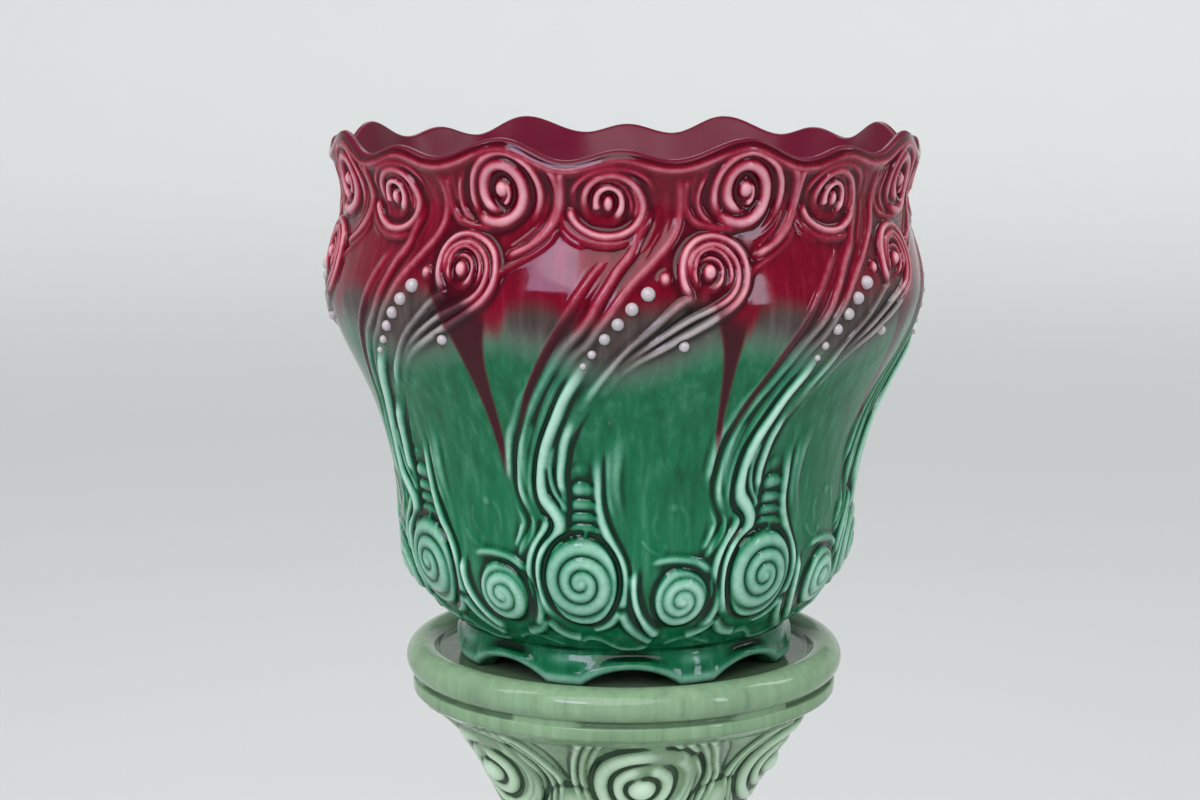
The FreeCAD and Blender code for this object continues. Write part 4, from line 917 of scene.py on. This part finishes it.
def glaze(name, field, light, pale, deep, run_and_shade_colour, inner, speck, streaks):
    """Glossy glaze over white clay: pale where it runs thin, dark where it pools.

    field, light, pale and deep each hold the green, smoke and crimson colours, or one
    colour: the plain glaze, the glaze on a ridge, on its crest and in a groove. The colour
    after deep is where glaze gathers on the bowl, and painted shade on the stand's dish
    floor; inner is the inside's and speck the specks'; streaks is how strong the streaks are."""
    material = bpy.data.materials.new(name)
    nodes = Nodes(material)
    place = nodes.add("ShaderNodeTexCoord").outputs["Object"]
    drawn = nodes.add("ShaderNodeMapping", {"Vector": place, "Scale": (1.0, 1.0, 0.07)}).outputs[0]
    streak = nodes.noise(drawn, 150.0, 5.0, 0.62)
    cloud = nodes.noise(place, 22.0, 3.0)
    relief = [nodes.attribute(label) for label in ("fine", "broad", "tall")]

    def blend(*shares):
        """Sum of the fine, broad and tall relief, each times its share."""
        total = nodes.times(relief[0], shares[0])
        for part, share in zip(relief[1:], shares[1:]):
            total = nodes.plus(total, nodes.times(part, share))
        return total

    pooled = nodes.span(blend(1.0, 0.12), -0.14, -0.68)
    ridge = nodes.span(blend(1.0, 0.30, 0.8), 0.05, 1.40)
    crest = blend(0.55, 0.30, 0.42)
    if len(field) > 1:
        sharper = nodes.minus(blend(1.05, 0.10, 0.18), crest)
        crest = nodes.plus(crest, nodes.times(sharper, nodes.attribute("crimson")))
    uneven = nodes.plus(nodes.sway(streak, 0.55), nodes.sway(cloud, 0.9))
    uneven = nodes.plus(uneven, nodes.sway(nodes.noise(place, 240.0, 4.0, 0.65), 0.9))
    thin = nodes.span(nodes.plus(crest, nodes.times(uneven, 0.75)), 0.28, 2.00)

    def tone(colours):
        if len(colours) == 1:
            return colours[0]
        ware = nodes.mix(nodes.attribute("smoke"), colours[0], colours[1])
        return nodes.mix(nodes.attribute("crimson"), ware, colours[2])

    ground = tone(field)
    lighter = nodes.mix(nodes.span(streak, 0.45, 0.80, 0.0, streaks), ground, tone(light))
    lighter = nodes.mix(nodes.span(streak, 0.50, 0.22, 0.0, streaks), lighter, tone(deep))
    lighter = nodes.mix(nodes.span(cloud, 0.48, 0.28, 0.0, 0.20), lighter, tone(deep))
    colour = nodes.mix(nodes.times(ridge, 0.85), lighter, tone(light))
    colour = nodes.mix(nodes.times(thin, 0.90), colour, tone(pale))
    colour = nodes.mix(nodes.times(pooled, 0.95), colour, tone(deep))
    if len(field) > 1:
        smoke = nodes.attribute("smoke")
        haze = nodes.times(smoke, nodes.minus(1.0, smoke))
        clear = nodes.minus(1.0, nodes.attribute("crimson"))
        colour = nodes.mix(nodes.times(haze, nodes.times(clear, 1.5)), colour, tone(light))
    # On the bowl this mixes in the crimson glaze runs; on the stand it mixes in painted shade on the dish
    # floor under the bowl.
    colour = nodes.mix(nodes.times(nodes.attribute("runs_and_shade"), 0.85), colour, run_and_shade_colour)
    colour = nodes.mix(nodes.attribute("inside"), colour, inner)
    spots = nodes.add("ShaderNodeTexVoronoi", {"Vector": place, "Scale": 130.0, "Randomness": 1.0})
    rare = nodes.times(nodes.span(spots.outputs["Distance"], 0.16, 0.08),
                       nodes.span(nodes.noise(place, 30.0, 1.0), 0.66, 0.74))
    colour = nodes.mix(nodes.times(rare, 0.75), colour, speck)
    rough = nodes.span(nodes.noise(place, 60.0, 2.0), 0.35, 0.7, 0.05, 0.12)
    rough = nodes.plus(rough, nodes.times(nodes.attribute("inside"), 0.30))
    skin = nodes.noise(place, 260.0, 2.0)
    ripple = nodes.noise(place, 42.0, 2.0)
    lumps = nodes.plus(nodes.times(skin, 0.12), ripple)
    bump = nodes.add("ShaderNodeBump", {"Height": lumps, "Strength": 0.16, "Distance": 0.0011})
    shader = nodes.add("ShaderNodeBsdfPrincipled", {
        "Base Color": colour, "Roughness": rough, "IOR": 1.5, "Specular IOR Level": 0.24,
        "Normal": bump.outputs[0]})
    nodes.add("ShaderNodeOutputMaterial", {"Surface": shader.outputs[0]})
    return material


def pearl_glaze():
    """Clear glaze over white clay, with a little colour washed on to it."""
    material = bpy.data.materials.new("pearl_glaze")
    nodes = Nodes(material)
    place = nodes.add("ShaderNodeTexCoord").outputs["Object"]
    cloud = nodes.noise(place, 260.0, 3.0)
    stain = nodes.noise(place, 55.0, 2.0)
    colour = nodes.mix(nodes.span(cloud, 0.50, 0.72, 0.0, 0.45), (0.48, 0.44, 0.44), (0.33, 0.25, 0.26))
    colour = nodes.mix(nodes.span(stain, 0.56, 0.74, 0.0, 0.5), colour, (0.30, 0.34, 0.31))
    rough = nodes.span(cloud, 0.3, 0.7, 0.10, 0.18)
    bump = nodes.add("ShaderNodeBump", {"Height": cloud, "Strength": 0.15, "Distance": 0.0004})
    shader = nodes.add("ShaderNodeBsdfPrincipled", {
        "Base Color": colour, "Roughness": rough, "IOR": 1.5, "Specular IOR Level": 0.4,
        "Normal": bump.outputs[0]})
    nodes.add("ShaderNodeOutputMaterial", {"Surface": shader.outputs[0]})
    return material


bowl_glaze = glaze(
    "majolica_glaze",
    field=[(0.003, 0.130, 0.049), (0.062, 0.044, 0.038), (0.155, 0.0003, 0.0125)],
    light=[(0.075, 0.290, 0.175), (0.165, 0.140, 0.128), (0.320, 0.020, 0.050)],
    pale=[(0.48, 0.77, 0.60), (0.46, 0.43, 0.41), (0.72, 0.36, 0.40)],
    deep=[(0.0002, 0.012, 0.004), (0.007, 0.0045, 0.0045), (0.050, 0.0002, 0.0050)],
    run_and_shade_colour=(0.020, 0.0008, 0.0035),
    inner=(0.125, 0.0008, 0.019), speck=(0.16, 0.11, 0.06), streaks=0.50)
stand_glaze = glaze(
    "celadon_glaze",
    field=[(0.180, 0.300, 0.165)], light=[(0.34, 0.50, 0.32)], pale=[(0.60, 0.79, 0.59)],
    # The stand's dark green for gathered glaze is painted shade on the dish floor under the bowl, with glaze
    # pooled there.
    deep=[(0.014, 0.045, 0.018)], run_and_shade_colour=(0.010, 0.024, 0.010),
    inner=(0.13, 0.17, 0.11), speck=(0.07, 0.050, 0.022), streaks=0.32)

jardiniere, pearls = make_bowl()
jardiniere.data.materials.append(bowl_glaze)
pearls.data.materials.append(pearl_glaze())
stand = make_stand()
stand.data.materials.append(stand_glaze)

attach(jardiniere, "jardiniere")
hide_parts(*[node for node in frame["record"]["behaviour"]["bodies"]["jardiniere"]
                          if node != "pearls"])
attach(pearls, "jardiniere")
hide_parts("pearls")
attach(stand, "pedestal")
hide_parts(*frame["record"]["behaviour"]["bodies"]["pedestal"])


# ---- floor, light and camera

def plain(name, colour):
    """A matt colour with a faint grain."""
    material = bpy.data.materials.new(name)
    nodes = Nodes(material)
    place = nodes.add("ShaderNodeTexCoord").outputs["Object"]
    grain = nodes.noise(place, 3.0, 2.0)
    shade = nodes.mix(nodes.span(grain, 0.3, 0.7, 0.0, 0.05), colour, tuple(0.9 * part for part in colour))
    shader = nodes.add("ShaderNodeBsdfPrincipled", {"Base Color": shade, "Roughness": 0.85})
    nodes.add("ShaderNodeOutputMaterial", {"Surface": shader.outputs[0]})
    return material


def make_floor():
    """A wide round floor that curves up to a low wall."""
    profile = [(0.0, 0.0), (3.0, 0.0), (6.0, 0.0), (7.5, 0.12), (8.6, 0.6), (9.2, 1.6), (9.4, 3.5)]
    sides = 96
    spots = []
    for radius, height in profile[1:]:
        for side in range(sides):
            turn = 2.0 * math.pi * side / sides
            spots.append((radius * math.cos(turn), radius * math.sin(turn), height))
    faces = [tuple(range(sides))]
    for ring_number in range(len(profile) - 2):
        start = ring_number * sides
        for side in range(sides):
            after = (side + 1) % sides
            faces.append((start + side, start + sides + side, start + sides + after, start + after))
    floor = smooth_piece("studio_floor", spots, faces)
    floor.data.materials.append(plain("pale_floor", (0.67, 0.685, 0.68)))


LAMPS_AIM = 0.80      # height that the lamps look at, in metres


def lamp(name, azimuth, elevation, distance, width, height, power, colour):
    """A soft box that faces the ware. Azimuth 0 is the viewer's side."""
    light = bpy.data.lights.new(name, "AREA")
    light.shape = "RECTANGLE"
    light.size, light.size_y = width, height
    light.energy = power
    light.color = colour
    box = placed(name, light)
    turn, lift = math.radians(azimuth), math.radians(elevation)
    away = Vector((math.sin(turn) * math.cos(lift), -math.cos(turn) * math.cos(lift), math.sin(lift)))
    box.location = Vector((0.0, 0.0, LAMPS_AIM)) + away * distance
    box.rotation_euler = away.to_track_quat("Z", "Y").to_euler()


make_floor()
lamp("window", -27.0, 22.0, 2.3, 0.70, 0.55, 12.0, (0.74, 0.66, 1.0))
lamp("tall_window", 50.0, 12.0, 2.4, 0.28, 0.9, 9.0, (0.82, 0.84, 1.0))
lamp("left_soft", -70.0, 42.0, 2.4, 0.5, 1.2, 11.0, (1.0, 0.99, 0.97))
lamp("right_soft", 100.0, 36.0, 2.6, 0.5, 1.2, 12.0, (1.0, 0.98, 0.98))
lamp("back_soft", 185.0, 40.0, 3.0, 0.9, 0.8, 12.0, (1.0, 1.0, 1.0))

sun = bpy.data.lights.new("daylight", "SUN")
sun.energy = 2.3
sun.angle = math.radians(50.0)
daylight = placed("daylight", sun)
daylight.rotation_euler = (math.radians(48.0), 0.0, math.radians(-12.0))

world = bpy.data.worlds.new("studio")
bpy.context.scene.world = world
world.use_nodes = True
sky = world.node_tree.nodes["Background"]
sky.inputs["Color"].default_value = (0.90, 0.93, 0.95, 1.0)
sky.inputs["Strength"].default_value = 0.30

view = bpy.data.cameras.new("view")
view.sensor_width = 36.0
view.lens = 70.8
camera = placed("view", view)
camera.location = (0.0, -1.365, 0.98973)
camera.rotation_euler = (math.radians(81.071), 0.0, math.radians(0.592))
bpy.context.scene.camera = camera
bpy.context.scene.view_settings.view_transform = "Standard"
